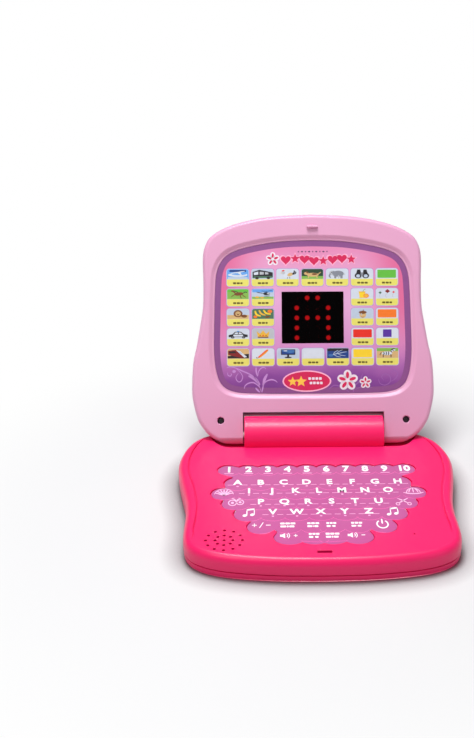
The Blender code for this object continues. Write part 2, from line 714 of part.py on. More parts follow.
def ear_rounder(name, radius):
    """What is cut away below the ears so that their ends are round, seen from the side."""
    turns = 16
    loop = [Vector((-40, -40)), Vector((EAR_L, -40))]
    for i in range(turns + 1):
        angle = -math.pi / 2 - math.pi * i / turns
        loop.append(Vector((EAR_L + radius * math.cos(angle), EAR_N + radius * math.sin(angle))))
    loop += [Vector((EAR_L, 40)), Vector((-40, 40))]
    made = prism(name, anticlockwise(loop), -130, 130)
    made.data.transform(Matrix(((0, 0, 1, 0), (1, 0, 0, 0), (0, 1, 0, 0), (0, 0, 0, 1))))
    return made


def cutout(name, size, margin=0.0):
    half = size[0] + margin
    return box(name, (-half, -30, LID_BACK - 5), (half, size[1] + margin, LID_FRONT + 5))


def pin_cradle(name, side, near, far, low, high):
    """A rib across an ear that holds its pin."""
    left, right = sorted((side * near, side * far))
    return box(name, (left, -6.4, low), (right, 6.0, high))


def lid_front(pivot):
    frame = loft("lid_front", mirrored(LID_HALF), LID_FRONT_EDGE)
    cut(frame, ear_rounder("round", EAR_R), cutout("cutout", FRONT_CUTOUT))
    hollow = loft("hollow", mirrored(LID_HALF, 1), LID_FRONT_HOLLOW)
    cut(hollow, ear_rounder("round", EAR_R - 1.6), cutout("cutout", FRONT_CUTOUT, WALL))
    panel = mirrored(PANEL_HALF)
    cut(hollow, loft("panel_block", panel, WELL_WALL))
    cut(frame, hollow, loft("well", panel, WELL_EDGE))
    low = (WINDOW_LIP - WINDOW_WIDE / 2, WINDOW_LOW + WINDOW_LIP, LID_BACK)
    cut(frame, box("window", low, (-low[0], WINDOW_HIGH - WINDOW_LIP, LID_FRONT)))
    for side in (-1, 1):
        ear_fittings(frame, side)
        for l in (WINDOW_LOW + 2, WINDOW_HIGH - 2):
            x = side * LED_BOARD_POST_X
            join(frame, rod("post", 2.0, LED_BOARD_TOP + CLEAR, PANEL_FLOOR_BACK + 0.4, x, l, 8))
    low = (-TAB_WIDE / 2, TAB_L - TAB_DEEP / 2, LID_FRONT - 1)
    join(frame, box("tab", low, (TAB_WIDE / 2, TAB_L + TAB_DEEP / 2, LID_FRONT + TAB_TALL)))
    finish(frame, "lid_pink", pivot)


def ear_fittings(frame, side):
    """What is inside one ear of the bezel: two ribs that hold the pin, and the tube for the screw."""
    inner = FRONT_CUTOUT[0]
    for near, far in ((inner + 0.2, inner + WALL), (PIN_OUTER_X - 3.0, PIN_OUTER_X - 1.4)):
        join(frame, pin_cradle("cradle", side, near, far, LID_SEAM + CLEAR, LID_FRONT - 1.0))
    left, right = sorted((side * (inner - 1), side * (PIN_OUTER_X + 0.4)))
    cut(frame, box("notch", (left, -PIN_R - GAP, LID_SEAM - 1), (right, PIN_R + GAP, 0)))
    cut(frame, cross_rod("bore", PIN_R + GAP, left, right, 0, 0, 20))
    x = side * LID_SCREW_X
    join(frame, rod("tube", RECESS_R + 1.55, LID_SEAM + CLEAR, LID_FRONT - 0.9, x, LID_SCREW_L, 16))
    cut(frame, rod("recess", RECESS_R, RECESS_FLOOR, LID_FRONT + 1, x, LID_SCREW_L))
    cut(frame, rod("hole", SCREW_R + GAP, LID_SEAM - 1, 0, x, LID_SCREW_L, 8))


def lid_back(pivot):
    top = LID_SEAM - GAP
    cover = loft("lid_back", mirrored(LID_HALF), LID_BACK_EDGE)
    cut(cover, ear_rounder("round", EAR_R), cutout("cutout", BACK_CUTOUT))
    hollow = loft("hollow", mirrored(LID_HALF, 1), LID_BACK_HOLLOW)
    cut(hollow, ear_rounder("round", EAR_R - 1.8), cutout("cutout", BACK_CUTOUT, WALL))
    cut(cover, hollow)
    for side in (-1, 1):
        left, right = sorted((side * (FRONT_CUTOUT[0] + 0.2), side * (FRONT_CUTOUT[0] + WALL - 0.2)))
        join(cover, box("tongue", (left, -2.5, top - 1.5), (right, 2.5, -PIN_R - GAP)))
        x = side * LID_SCREW_X
        join(cover, rod("boss", 3.4, LID_BACK + 1, top - CLEAR, x, LID_SCREW_L, 12))
        cut(cover, rod("pilot", SCREW_R + GAP, LID_BACK + 2.6, top + 1, x, LID_SCREW_L, 8))
    finish(cover, "lid_pink", pivot)


def screen(pivot):
    sheet = prism("screen_panel", mirrored(PANEL_HALF), PANEL_BOTTOM, PANEL_TOP)
    half = WINDOW_WIDE / 2
    cut(sheet, box("hole", (-half, WINDOW_LOW, -5), (half, WINDOW_HIGH, 5)))
    finish(sheet, "panel_print", pivot)
    low = (-half + 0.2, WINDOW_LOW + 0.2, PANEL_BOTTOM)
    window = box("led_window", low, (half - 0.2, WINDOW_HIGH - 0.2, PANEL_TOP))
    finish(window, "window_black", pivot)
    low = (-LED_BOARD_HALF, WINDOW_LOW, LED_BOARD_TOP - BOARD_THICK)
    board = box("led_board", low, (LED_BOARD_HALF, WINDOW_HIGH, LED_BOARD_TOP))
    finish(board, "board_green", pivot)


def leds(pivot):
    """Rows are counted from the top of the lid, and columns from the left."""
    middle = (WINDOW_LOW + WINDOW_HIGH) / 2
    low = LED_BOARD_TOP + CLEAR
    lens = [(0, low), (LED_R, low)] + LED_LENS
    for row, l in enumerate(reversed(spread(LED_ROWS, LED_PITCH_L))):
        for column, x in enumerate(spread(LED_COLUMNS, LED_PITCH_X)):
            made = turned(f"led_r{row + 1}c{column + 1}", lens, 8)
            finish(moved(made, (x, middle + l, 0)), "led_red", pivot)


def lid_fasteners(pivot):
    for name, side in (("left", -1), ("right", 1)):
        bolt = screw(f"lid_screw_{name}", LID_SCREW_HEAD, LID_SCREW_TIP, 0, 0, "steel", pivot)
        moved(bolt, (side * LID_SCREW_X, LID_SCREW_L, 0), Matrix.Rotation(math.pi, 4, "X"))
        pin = turned(f"hinge_pin_{name}", PIN_PROFILE, 16, ring=True)
        pin.data.transform(TO_X if side > 0 else TO_MINUS_X)
        finish(pin, "pin_plastic", pivot)


# ---------------------------------------------------------------- the whole toy

def joint_empty(name, place, turn=0.0):
    made = bpy.data.objects.new(name, None)
    made.location = Vector(place) * MM
    made.rotation_euler = (math.radians(turn), 0, 0)
    bpy.context.scene.collection.objects.link(made)
    return made


def build():
    for old in list(bpy.data.objects):
        bpy.data.objects.remove(old)
    base_top_shell()
    base_bottom_shell()
    for i, (x, y) in enumerate(BASE_SCREWS):
        screw(f"base_screw_{i + 1}", SHOULDER_LOW - HEAD_TALL - CLEAR, CEILING - 2.4, x, y)
    keypad()
    main_board()
    speaker()
    batteries()
    finish(swept("display_cable_base", DISPLAY_CABLE_BASE, CABLE_R), "cable_grey")
    door_pivot = joint_empty("battery_door_axis", (0, BAY_FRONT, 0))
    battery_door(door_pivot)
    door_screw(door_pivot)
    lid_pivot = joint_empty("lid_axis", (0, AXIS_Y, AXIS_Z), 90 - LEAN)
    lid_front(lid_pivot)
    lid_back(lid_pivot)
    screen(lid_pivot)
    leds(lid_pivot)
    lid_fasteners(lid_pivot)
    finish(swept("display_cable_lid", DISPLAY_CABLE_LID, CABLE_R), "cable_grey", lid_pivot)


build()
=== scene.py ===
import json
import math

import bmesh
import bpy
from mathutils import Matrix, Vector


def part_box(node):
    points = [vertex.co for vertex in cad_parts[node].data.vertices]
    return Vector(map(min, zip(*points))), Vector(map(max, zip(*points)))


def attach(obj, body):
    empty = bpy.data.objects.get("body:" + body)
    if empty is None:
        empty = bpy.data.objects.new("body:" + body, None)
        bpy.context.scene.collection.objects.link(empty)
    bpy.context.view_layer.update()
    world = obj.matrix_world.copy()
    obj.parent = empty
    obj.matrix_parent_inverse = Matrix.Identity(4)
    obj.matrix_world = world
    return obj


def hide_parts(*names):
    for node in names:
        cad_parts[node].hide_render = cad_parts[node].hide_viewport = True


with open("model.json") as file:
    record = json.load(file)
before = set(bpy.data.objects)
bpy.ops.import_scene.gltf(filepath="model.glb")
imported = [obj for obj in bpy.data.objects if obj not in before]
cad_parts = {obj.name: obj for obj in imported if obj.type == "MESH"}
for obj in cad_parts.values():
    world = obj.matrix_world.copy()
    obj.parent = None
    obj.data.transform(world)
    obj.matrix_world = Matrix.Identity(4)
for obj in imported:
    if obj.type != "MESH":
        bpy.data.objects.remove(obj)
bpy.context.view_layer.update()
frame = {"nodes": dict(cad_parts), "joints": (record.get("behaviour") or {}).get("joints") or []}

# The looks of a child's toy laptop computer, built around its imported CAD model.
# Shapes are drawn in millimetres and scaled to metres as they are made. Base pieces are drawn in the frame of
# the part: x to the right, y away from the user, z up. Lid pieces are drawn in the lid's own frame: x to the
# right, y up the lid from the hinge line, z out of its front face.

MM = 0.001


def joint_place(name):
    found = [joint for joint in frame["joints"] if joint["name"] == name]
    return Vector(found[0]["pos_m"]) / MM


def node_box(name):
    low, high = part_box(name)
    return low / MM, high / MM


def node_middle(name):
    low, high = node_box(name)
    return (low + high) / 2


HINGE = joint_place("lid_hinge")
LEAN = 26.26
LID_FRAME = Matrix.Translation(HINGE * MM) @ Matrix.Rotation(math.radians(90 - LEAN), 4, "X")
FRAMES = {"base": Matrix.Identity(4), "lid": LID_FRAME, "battery_door": Matrix.Identity(4)}

# Heights of the base. Cutters reach to ABOVE, which is clear of everything.
SEAM = 6.6
SEAM_GAP = 0.8
TOP_LOW = SEAM + SEAM_GAP / 2
BOTTOM_HIGH = SEAM - SEAM_GAP / 2
CEILING = 18.6
DECK = 21.0
RIM = 22.3
ABOVE = 30

# Half outlines, from the middle of one end to the middle of the other, as (half width, distance from the
# hinge line).
BASE_HALF = [
    (0, -18), (55, -18), (84, -17.2), (101, -12), (112.5, -1), (119.5, 14), (124, 32), (125, 49),
    (122.5, 71), (118.7, 93), (115.2, 114), (113.9, 134), (114.3, 153), (113.8, 170), (110.5, 182),
    (103, 191.5), (89, 199.5), (68, 205), (35, 209), (0, 210),
]
SUNK_HALF = [
    (0, -26), (96, -26), (103, -6), (109.6, 9), (113.6, 24), (115.8, 42), (114.8, 66), (109.4, 92),
    (105.4, 118), (104.8, 140), (106, 158), (105.8, 170), (108.5, 177), (120, 181), (134, 190),
    (134, 214), (0, 222),
]
LID_HALF = [
    (0, -9), (50, -9), (77, -9), (89.5, -6.4), (99.5, 0.2), (105.8, 8), (109.9, 16), (114, 33),
    (114.7, 46), (113.5, 68), (110, 85), (106.5, 105), (104, 122), (103.6, 145), (104, 166),
    (102.2, 178), (96, 188.5), (81, 197.3), (60, 203.6), (35, 207.4), (0, 209),
]
PANEL_HALF = [
    (0, 38.5), (50, 38.8), (74, 40.5), (86, 47), (91.5, 60), (93.5, 80), (93, 110), (92.3, 135),
    (90.5, 154), (84, 167), (72, 174.5), (50, 180), (25, 183.2), (0, 184),
]
# The plan of the right ear pocket, as (x, distance from the hinge line).
POCKET_PLAN = [
    (64.5, 16.2), (78, 16), (84, 14.2), (88.5, 10.8), (92, 6.4), (94.8, 1.4), (96.8, -3.4), (98.3, -7.6),
    (98.6, -10.8), (95.6, -13), (88, -14.2), (80, -14.6), (64.5, -14.6),
]
# Profiles are lists of (inset from an outline, height), from the bottom up.
POCKET_SIDES = [(0, 13.8), (0, 20.2), (-0.3, 20.8), (-0.9, 21.04), (-0.9, ABOVE)]
POCKET_WALL_X = (62.9, 104.5)
POCKET_WALL_FRONT = 17.6
POCKET_WALL_BACK = 17.0
POCKET_WALL_LOW = 12.2

# The side rims of the deck start and run out over these distances from the hinge line.
RIM_STARTS = (-12, 16)
RIM_RUNS_OUT = (160, 183)
RIM_AT_ENDS = DECK + 0.05
RIM_ROUND = 6.0
RIM_WALL_TOP = 13.5
TOP_LIP = [(0.6, TOP_LOW), (0.18, TOP_LOW + 0.15), (0, TOP_LOW + 0.5)]
DECK_SIDES = [
    (0.9, DECK), (0.35, DECK + 0.12), (0, DECK + 0.45), (-0.15, 21.75), (-0.5, 22.05), (-1.2, 22.26),
    (-1.5, 27),
]
TOP_HOLLOW = [(2.2, TOP_LOW - 1), (3.6, 15), (6.0, CEILING)]
SINK_MARGIN = 1.1
SINK_SIDES = [(0, 19.2), (0, 20.75), (-0.2, 20.93), (-0.5, 21.02), (-0.5, ABOVE)]
SLOT_HALF_WIDE = 6.0
SLOT_HALF_DEEP = 1.6
SLOT_SIDES = [(0, CEILING - 2), (0, 20.6), (-0.2, 20.9), (-0.5, 21.02), (-0.5, ABOVE)]
TAIL_SLOT = ((-9, 7.2, CEILING - 2), (9, 9.2, DECK + 1))
CREASE_WIDE = 1.3
CREASE_DEEP = 1.2

BARREL_R = 17.5
BARREL_HALF = 65.5
BARREL_WALL = 2.4
# The rounding of the barrel's ends: (step down from its radius, step in from its end).
BARREL_END = [(1.2, 0), (0.35, 0.35), (0, 1.2)]
BARREL_FOOT_R = 17.3
BARREL_FOOT_Z = (9, 20.8)
PIN_HOLE_R = 3.1
PIN_BORE_HALF = 80

BOTTOM_OUTSIDE = [
    (3.8, 0), (2.4, 0.12), (1.4, 0.6), (0.75, 1.5), (0.4, 2.8), (0.3, BOTTOM_HIGH - 0.5),
    (0.48, BOTTOM_HIGH - 0.15), (0.9, BOTTOM_HIGH),
]
BOTTOM_INSIDE = [
    (2.75, BOTTOM_HIGH), (2.75, BOTTOM_HIGH + 1.5), (3.4, BOTTOM_HIGH + 1.5), (3.6, 4.4), (4.6, 2.0),
]
BAY_ROOF = 13.6
BAY_WALL = 1.5
BAY_GAP = 0.4
DOOR_TAB_X = 15
DOOR_TAB_LONG = 3.0
SCREW_WELL = [(0, -1), (4.0, -1), (4.0, 0.02), (3.4, 0.5), (3.4, 4.0), (0, 4.0)]
SCREW_HOLE_R = 1.55
# Screws: radius of the head, height of the head, radius of the shank.
SHELL_SCREW = (2.9, 1.8, 1.25)
DOOR_SCREW = (2.6, 0.55, 1.15)
EAR_SCREW_LONG = 11.4
EAR_SCREW_TOP = 0.4

FRONT_CUTOUT = (66.8, 21.0)
BACK_CUTOUT = (65.8, 17.9)
EAR_R = 8.5
EAR_N = -4.2
EAR_L = -0.5
LID_FRONT = 4.0
LID_SEAM = -5.0
LID_BACK = -14.0
PANEL_TOP = 1.5
BEZEL_LIP = [(3.6, LID_SEAM), (0.3, LID_SEAM), (0, LID_SEAM + 0.4)]
BEZEL_ROUND = 4.2
BEZEL_WALL_TOP = -0.6
BEZEL_HOLLOW = [(2, LID_SEAM - 1), (3.6, 1.6)]
PANEL_BLOCK = [(-7.6, LID_FRONT + 1), (-4.6, -1.0)]
PANEL_SLOPE = [
    (-0.3, 0.4), (-0.3, 1.52), (-0.5, 1.72), (-1.7, 1.86), (-2.1, 2.1), (-4.3, 3.55), (-5.0, 3.88),
    (-5.9, LID_FRONT + 0.02), (-6.2, LID_FRONT + 3),
]
EAR_WELL = [(0, -1.6), (3.25, -1.6), (3.25, 3.35), (3.4, 3.7), (3.9, 4.05), (3.9, 8), (0, 8)]
EAR_WALL = 1.8
PIN_NOTCH_END = 79.4
BACK_TOP = LID_SEAM - 0.3
BACK_WALL_LOW = -8
BACK_ROUND_WIDE = 7.0
BACK_ROUND_DEEP = 6
BACK_HOLLOW = [(2.2, BACK_TOP + 1), (2.4, -8.4), (4.0, -10.6), (8.0, -11.8)]
WINDOW_HALF = 29.5
WINDOW_LOW = 86.0
WINDOW_HIGH = 135.3
LED_R = 2.4
LED_LOW = -5.9
LED_SHOULDER = -2.0
LED_TOP = 0.1
LED_PITCH = (10.0, 9.5)
LID_SCREW_X = 87.7
LID_SCREW_L = 13.3
TAB_L = 196.5
TAB_HALF = (5.2, 1.1)
TAB_SIDES = [(0, 3), (0, 6.2), (0.25, 6.7), (0.65, 7.0)]

KEY_DROP = 3.0
KEYPAD_MIDDLE = 105.0
KEY_LOW = 19.85
KEY_TOP = 20.2
SPEAKER = (-80.2, 178.4)
GRILLE_RINGS = [(0.0, 1), (7.2, 8), (14.8, 12)]
GRILLE_HOLE_R = 1.4
SMALL_HOLE = (74.3, 171.7)
SMALL_HOLE_R = 0.9


def spread(count, pitch):
    return [(i - (count - 1) / 2) * pitch for i in range(count)]


# Key rows: (distance from the hinge line, x of the keys, half width and half depth of one key area).
KEY_ROWS = [
    (57.6, spread(10, 17.5), 10.0, 9.6),
    (82.5, spread(8, 20.2), 11.5, 12.0),
    (99.8, spread(7, 20.2) + [-82.3, 82.3], 10.8, 10.5),
    (117.0, spread(6, 20.2) + [-71.5, 71.5], 12.2, 10.5),
    (134.3, spread(5, 20.2) + [-60.5, 60.5], 12.5, 11.5),
    (154.5, [-50, -28, -7, 8, 29, 50], 11.8, 11.0),
    (171.1, [-27, -7, 8, 28], 13.0, 10.6),
]


# ---------------------------------------------------------------- outlines

def smooth(points, steps):
    """Points along a Catmull-Rom curve through the given ones, with the first and last kept."""
    ends = [Vector(points[0]), *map(Vector, points), Vector(points[-1])]
    curve = []
    for a, b, c, d in zip(ends, ends[1:], ends[2:], ends[3:]):
        for i in range(steps):
            t = i / steps
            linear = (c - a) * t
            square = (2 * a - 5 * b + 4 * c - d) * t * t
            cube = (3 * b - 3 * c + d - a) * t ** 3
            curve.append(b + (linear + square + cube) / 2)
    curve.append(Vector(points[-1]))
    return curve


def anticlockwise(loop):
    area = sum(a.x * b.y - b.x * a.y for a, b in zip(loop, loop[1:] + loop[:1]))
    return loop if area > 0 else loop[::-1]


def mirrored(half, steps=6):
    """A closed, anticlockwise loop from a half outline that starts and ends on the middle line."""
    right = smooth(half, steps)
    left = [Vector((-p.x, p.y)) for p in right[-2:0:-1]]
    return anticlockwise(right + left)


def from_hinge(half):
    return [(x, HINGE.y - d) for x, d in half]


def inset_loop(loop, inset):
    """The loop moved inwards by inset, or outwards where inset is negative."""
    moved = []
    for i, point in enumerate(loop):
        along = (loop[(i + 1) % len(loop)] - loop[i - 1]).normalized()
        moved.append(point + Vector((-along.y, along.x)) * inset)
    return moved


def oval(x, y, half_wide, half_tall, turn=0.0, count=28):
    """An ellipse, turned by some degrees."""
    cosine, sine = math.cos(math.radians(turn)), math.sin(math.radians(turn))
    loop = []
    for i in range(count):
        angle = 2 * math.pi * i / count
        u, v = half_wide * math.cos(angle), half_tall * math.sin(angle)
        loop.append(Vector((x + u * cosine - v * sine, y + u * sine + v * cosine)))
    return loop


CORNER_STEPS = 6


def rounded(left, low, right, high, radius, corners=(1, 1, 1, 1)):
    """A rectangle with round corners: lower left, lower right, upper right, upper left."""
    centres = [(left, low, 1, 1), (right, low, -1, 1), (right, high, -1, -1), (left, high, 1, -1)]
    loop = []
    for k, (x, y, inwards_x, inwards_y) in enumerate(centres):
        if not corners[k]:
            loop.append(Vector((x, y)))
            continue
        for i in range(CORNER_STEPS + 1):
            angle = math.pi * (1 + k / 2 + i / (2 * CORNER_STEPS))
            loop.append(Vector((
                x + inwards_x * radius + radius * math.cos(angle),
                y + inwards_y * radius + radius * math.sin(angle),
            )))
    return loop


def ribbon(path, width, steps=5, taper=1.0):
    """The outline of a brush stroke along a curve. With taper under 1 it narrows towards both ends."""
    path = smooth(path, steps)
    left, right = [], []
    last = len(path) - 1
    for i, point in enumerate(path):
        along = (path[min(i + 1, last)] - path[max(i - 1, 0)]).normalized()
        share = taper + (1 - taper) * math.sin(math.pi * i / last)
        across = Vector((-along.y, along.x)) * width / 2 * share
        left.append(point + across)
        right.append(point - across)
    return left + right[::-1]


def arc(x, y, radius, start, end, count=12):
    """Points along part of a circle, between two angles in degrees."""
    points = []
    for i in range(count + 1):
        angle = math.radians(start + (end - start) * i / count)
        points.append((x + radius * math.cos(angle), y + radius * math.sin(angle)))
    return points


def ellipse_reach(ray, centre, half_wide, half_deep):
    """How far along a ray from the origin the far side of an ellipse is, or 0 where the ray misses it."""
    u = Vector((ray.x / half_wide, ray.y / half_deep))
    c = Vector((centre.x / half_wide, centre.y / half_deep))
    a = u.dot(u)
    b = u.dot(c)
    inside = b * b - a * (c.dot(c) - 1)
    return (b + math.sqrt(inside)) / a if inside >= 0 and b > 0 else 0.0


KEYPAD_STEPS = 400


def keypad_loop(margin=0.0):
    """The scalloped edge of the keypad: the farthest point of any key area, all the way round."""
    loop = []
    for i in range(KEYPAD_STEPS):
        angle = 2 * math.pi * i / KEYPAD_STEPS
        ray = Vector((math.cos(angle), math.sin(angle)))
        reach = 0.0
        for distance, keys, half_wide, half_deep in KEY_ROWS:
            for x in keys:
                centre = Vector((x, KEYPAD_MIDDLE - distance - KEY_DROP))
                reach = max(reach, ellipse_reach(ray, centre, half_wide, half_deep))
        loop.append(Vector((0, HINGE.y - KEYPAD_MIDDLE)) + ray * (reach + margin))
    return loop


def quarter(inset, low, high, steps=8):
    """Profile points for a rounded upper edge: from an upright wall at low to a level top at high."""
    points = []
    for i in range(steps + 1):
        angle = math.pi / 2 * i / steps
        points.append((inset * (1 - math.cos(angle)), low + (high - low) * math.sin(angle)))
    return points


# ---------------------------------------------------------------- solids

def solid(name, points, faces):
    mesh = bpy.data.meshes.new(name)
    mesh.from_pydata([Vector(p) * MM for p in points], [], faces)
    shape = bmesh.new()
    shape.from_mesh(mesh)
    bmesh.ops.recalc_face_normals(shape, faces=shape.faces)
    shape.to_mesh(mesh)
    shape.free()
    made = bpy.data.objects.new(name, mesh)
    bpy.context.scene.collection.objects.link(made)
    return made


def loft(name, loop, profile, lift=None):
    """A solid with one ring for each (inset, height). Lift changes each height by the place on the loop."""
    count = len(loop)
    points = []
    for inset, height in profile:
        for start, p in zip(loop, inset_loop(loop, inset)):
            points.append((p.x, p.y, lift(start, height) if lift else height))
    faces = [list(range(count)), list(range(len(points) - count, len(points)))]
    for ring in range(len(profile) - 1):
        start = ring * count
        for i in range(count):
            j = (i + 1) % count
            faces.append([start + i, start + j, start + count + j, start + count + i])
    return solid(name, points, faces)


def prism(name, loop, low, high):
    return loft(name, [Vector(p) for p in loop], [(0, low), (0, high)])


def box(name, low, high):
    corners = [(low[0], low[1]), (high[0], low[1]), (high[0], high[1]), (low[0], high[1])]
    return prism(name, corners, low[2], high[2])


def turned(name, profile, segments=32):
    """A solid turned about Z from (radius, height) points that start and end on the axis."""
    points = []
    rows = []
    for radius, height in profile:
        if radius == 0:
            rows.append([len(points)] * segments)
            points.append((0, 0, height))
            continue
        rows.append(list(range(len(points), len(points) + segments)))
        for i in range(segments):
            angle = 2 * math.pi * i / segments
            points.append((radius * math.cos(angle), radius * math.sin(angle), height))
    faces = []
    for lower, upper in zip(rows, rows[1:]):
        for i in range(segments):
            j = (i + 1) % segments
            faces.append(list(dict.fromkeys([lower[i], lower[j], upper[j], upper[i]])))
    return solid(name, points, [f for f in faces if len(f) > 2])


def moved(made, place, turn=None):
    if turn:
        made.data.transform(turn)
    made.data.transform(Matrix.Translation(Vector(place) * MM))
    return made


def rod(name, radius, low, high, x, y, segments=24):
    return moved(turned(name, [(0, low), (radius, low), (radius, high), (0, high)], segments), (x, y, 0))


TO_X = Matrix.Rotation(math.radians(90), 4, "Y")
UPSIDE_DOWN = Matrix.Rotation(math.pi, 4, "X")


def boolean_mesh(target, other, operation, solver):
    step = target.modifiers.new("step", "BOOLEAN")
    step.operation = operation
    step.solver = solver
    step.object = other
    graph = bpy.context.evaluated_depsgraph_get()
    result = bpy.data.meshes.new_from_object(target.evaluated_get(graph))
    target.modifiers.clear()
    return result


def is_closed(mesh):
    shape = bmesh.new()
    shape.from_mesh(mesh)
    closed = all(edge.is_manifold for edge in shape.edges)
    shape.free()
    return closed


def combine(target, others, operation):
    """Applies a Boolean of the target with each of the others, which are used up."""
    for other in others:
        result = boolean_mesh(target, other, operation, "MANIFOLD")
        if not is_closed(result) or not result.polygons:
            result = boolean_mesh(target, other, operation, "EXACT")
        target.data = result
        bpy.data.objects.remove(other)
    return target


def cut(target, *others):
    return combine(target, others, "DIFFERENCE")


def join(target, *others):
    return combine(target, others, "UNION")


def place(made, body, slot, look, nodes=(), angle=35):
    """Gives a piece its look and its body, and hides the CAD nodes that it stands for. The slot is not used.
    """
    if look:
        made.data.materials.clear()
        made.data.materials.append(look)
    made.data.shade_smooth()
    made.data.set_sharp_from_angle(angle=math.radians(angle))
    normals = made.modifiers.new("normals", "WEIGHTED_NORMAL")
    normals.keep_sharp = True
    made.matrix_world = FRAMES[body]
    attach(made, body)
    if nodes:
        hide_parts(*nodes)
    return made


# ---------------------------------------------------------------- materials

def srgb(red, green, blue):
    """A linear colour from screen values of 0 to 255."""
    linear = []
    for value in (red, green, blue):
        share = value / 255
        linear.append(share / 12.92 if share <= 0.04045 else ((share + 0.055) / 1.055) ** 2.4)
    return (*linear, 1.0)


class Look:
    """A material in the making, with the nodes that most of them share."""

    def __init__(self, name, roughness=0.4, coat=0.0, metallic=0.0):
        self.material = bpy.data.materials.new(name)
        self.material.use_nodes = True
        self.tree = self.material.node_tree
        self.shader = self.tree.nodes["Principled BSDF"]
        self.shader.inputs["Roughness"].default_value = roughness
        self.shader.inputs["Metallic"].default_value = metallic
        self.shader.inputs["Coat Weight"].default_value = coat
        self.shader.inputs["Coat Roughness"].default_value = 0.12
        self.place = self.tree.nodes.new("ShaderNodeTexCoord").outputs["Object"]

    def link(self, output, socket):
        self.tree.links.new(output, socket)

    def noise(self, scale, detail=2.0):
        made = self.tree.nodes.new("ShaderNodeTexNoise")
        made.inputs["Scale"].default_value = scale
        made.inputs["Detail"].default_value = detail
        self.link(self.place, made.inputs["Vector"])
        return made.outputs["Fac"]

    def part(self, axis):
        made = self.tree.nodes.new("ShaderNodeSeparateXYZ")
        self.link(self.place, made.inputs["Vector"])
        return made.outputs[axis]

    def math(self, operation, first, second=0.0):
        made = self.tree.nodes.new("ShaderNodeMath")
        made.operation = operation
        for socket, value in zip(made.inputs, (first, second)):
            if isinstance(value, (int, float)):
                socket.default_value = value
            else:
                self.link(value, socket)
        return made.outputs[0]

    def between(self, value, low, high, soft=True):
        """0 where the value is at low, 1 where it is at high."""
        made = self.tree.nodes.new("ShaderNodeMapRange")
        made.interpolation_type = "SMOOTHSTEP" if soft else "LINEAR"
        self.link(value, made.inputs["Value"])
        made.inputs["From Min"].default_value = low
        made.inputs["From Max"].default_value = high
        return made.outputs["Result"]

    def ramp(self, value, stops):
        made = self.tree.nodes.new("ShaderNodeValToRGB")
        self.link(value, made.inputs["Fac"])
        elements = made.color_ramp.elements
        while len(elements) < len(stops):
            elements.new(1.0)
        for element, (position, colour) in zip(elements, stops):
            element.position = position
            element.color = colour
        return made.outputs["Color"]

    def mix(self, share, first, second):
        made = self.tree.nodes.new("ShaderNodeMix")
        made.data_type = "RGBA"
        colours = [socket for socket in made.inputs if socket.type == "RGBA"]
        self.link(share, made.inputs["Factor"])
        for socket, value in zip(colours, (first, second)):
            if isinstance(value, tuple):
                socket.default_value = value
            else:
                self.link(value, socket)
        return [socket for socket in made.outputs if socket.type == "RGBA"][0]

    def cover(self, share, first, second):
        """One shader mixed with another."""
        made = self.tree.nodes.new("ShaderNodeMixShader")
        if isinstance(share, float):
            made.inputs["Fac"].default_value = share
        else:
            self.link(share, made.inputs["Fac"])
        self.link(first, made.inputs[1])
        self.link(second, made.inputs[2])
        return made.outputs[0]

    def colour(self, value):
        if isinstance(value, tuple):
            self.shader.inputs["Base Color"].default_value = value
        else:
            self.link(value, self.shader.inputs["Base Color"])

    def bump(self, height, distance, strength=1.0):
        made = self.tree.nodes.new("ShaderNodeBump")
        made.inputs["Strength"].default_value = strength
        made.inputs["Distance"].default_value = distance * MM
        self.link(height, made.inputs["Height"])
        self.link(made.outputs["Normal"], self.shader.inputs["Normal"])

    def roughness(self, value, low, high):
        span = self.math("MULTIPLY", value, high - low)
        self.link(self.math("ADD", span, low), self.shader.inputs["Roughness"])


def shade(colour, factor):
    return (*[min(1.0, c * factor) for c in colour[:3]], 1.0)


def moulded(name, colour, roughness=0.4, coat=0.12, grain=0.012, drift=0.06):
    """Injection-moulded plastic: a slow drift of colour, a fine grain and slightly uneven gloss."""
    look = Look(name, roughness, coat)
    look.shader.inputs["Specular IOR Level"].default_value = 0.38
    look.colour(look.mix(look.noise(9.0), shade(colour, 1 - drift), shade(colour, 1 + drift)))
    look.bump(look.noise(1400.0, 3.0), grain)
    look.roughness(look.noise(60.0), roughness - 0.05, roughness + 0.07)
    return look.material


def ink(name, colour, roughness=0.35, coat=0.3):
    """Printing ink, with the slight unevenness of a screen print."""
    look = Look(name, roughness, coat)
    look.colour(look.mix(look.noise(260.0, 3.0), shade(colour, 0.93), shade(colour, 1.06)))
    look.bump(look.noise(900.0), 0.006)
    return look.material


def metal(name, colour, roughness=0.28):
    look = Look(name, roughness, 0.0, 1.0)
    look.colour(look.mix(look.noise(120.0), shade(colour, 0.8), shade(colour, 1.1)))
    look.roughness(look.noise(500.0, 4.0), roughness - 0.08, roughness + 0.15)
    look.bump(look.noise(1600.0), 0.01)
    return look.material


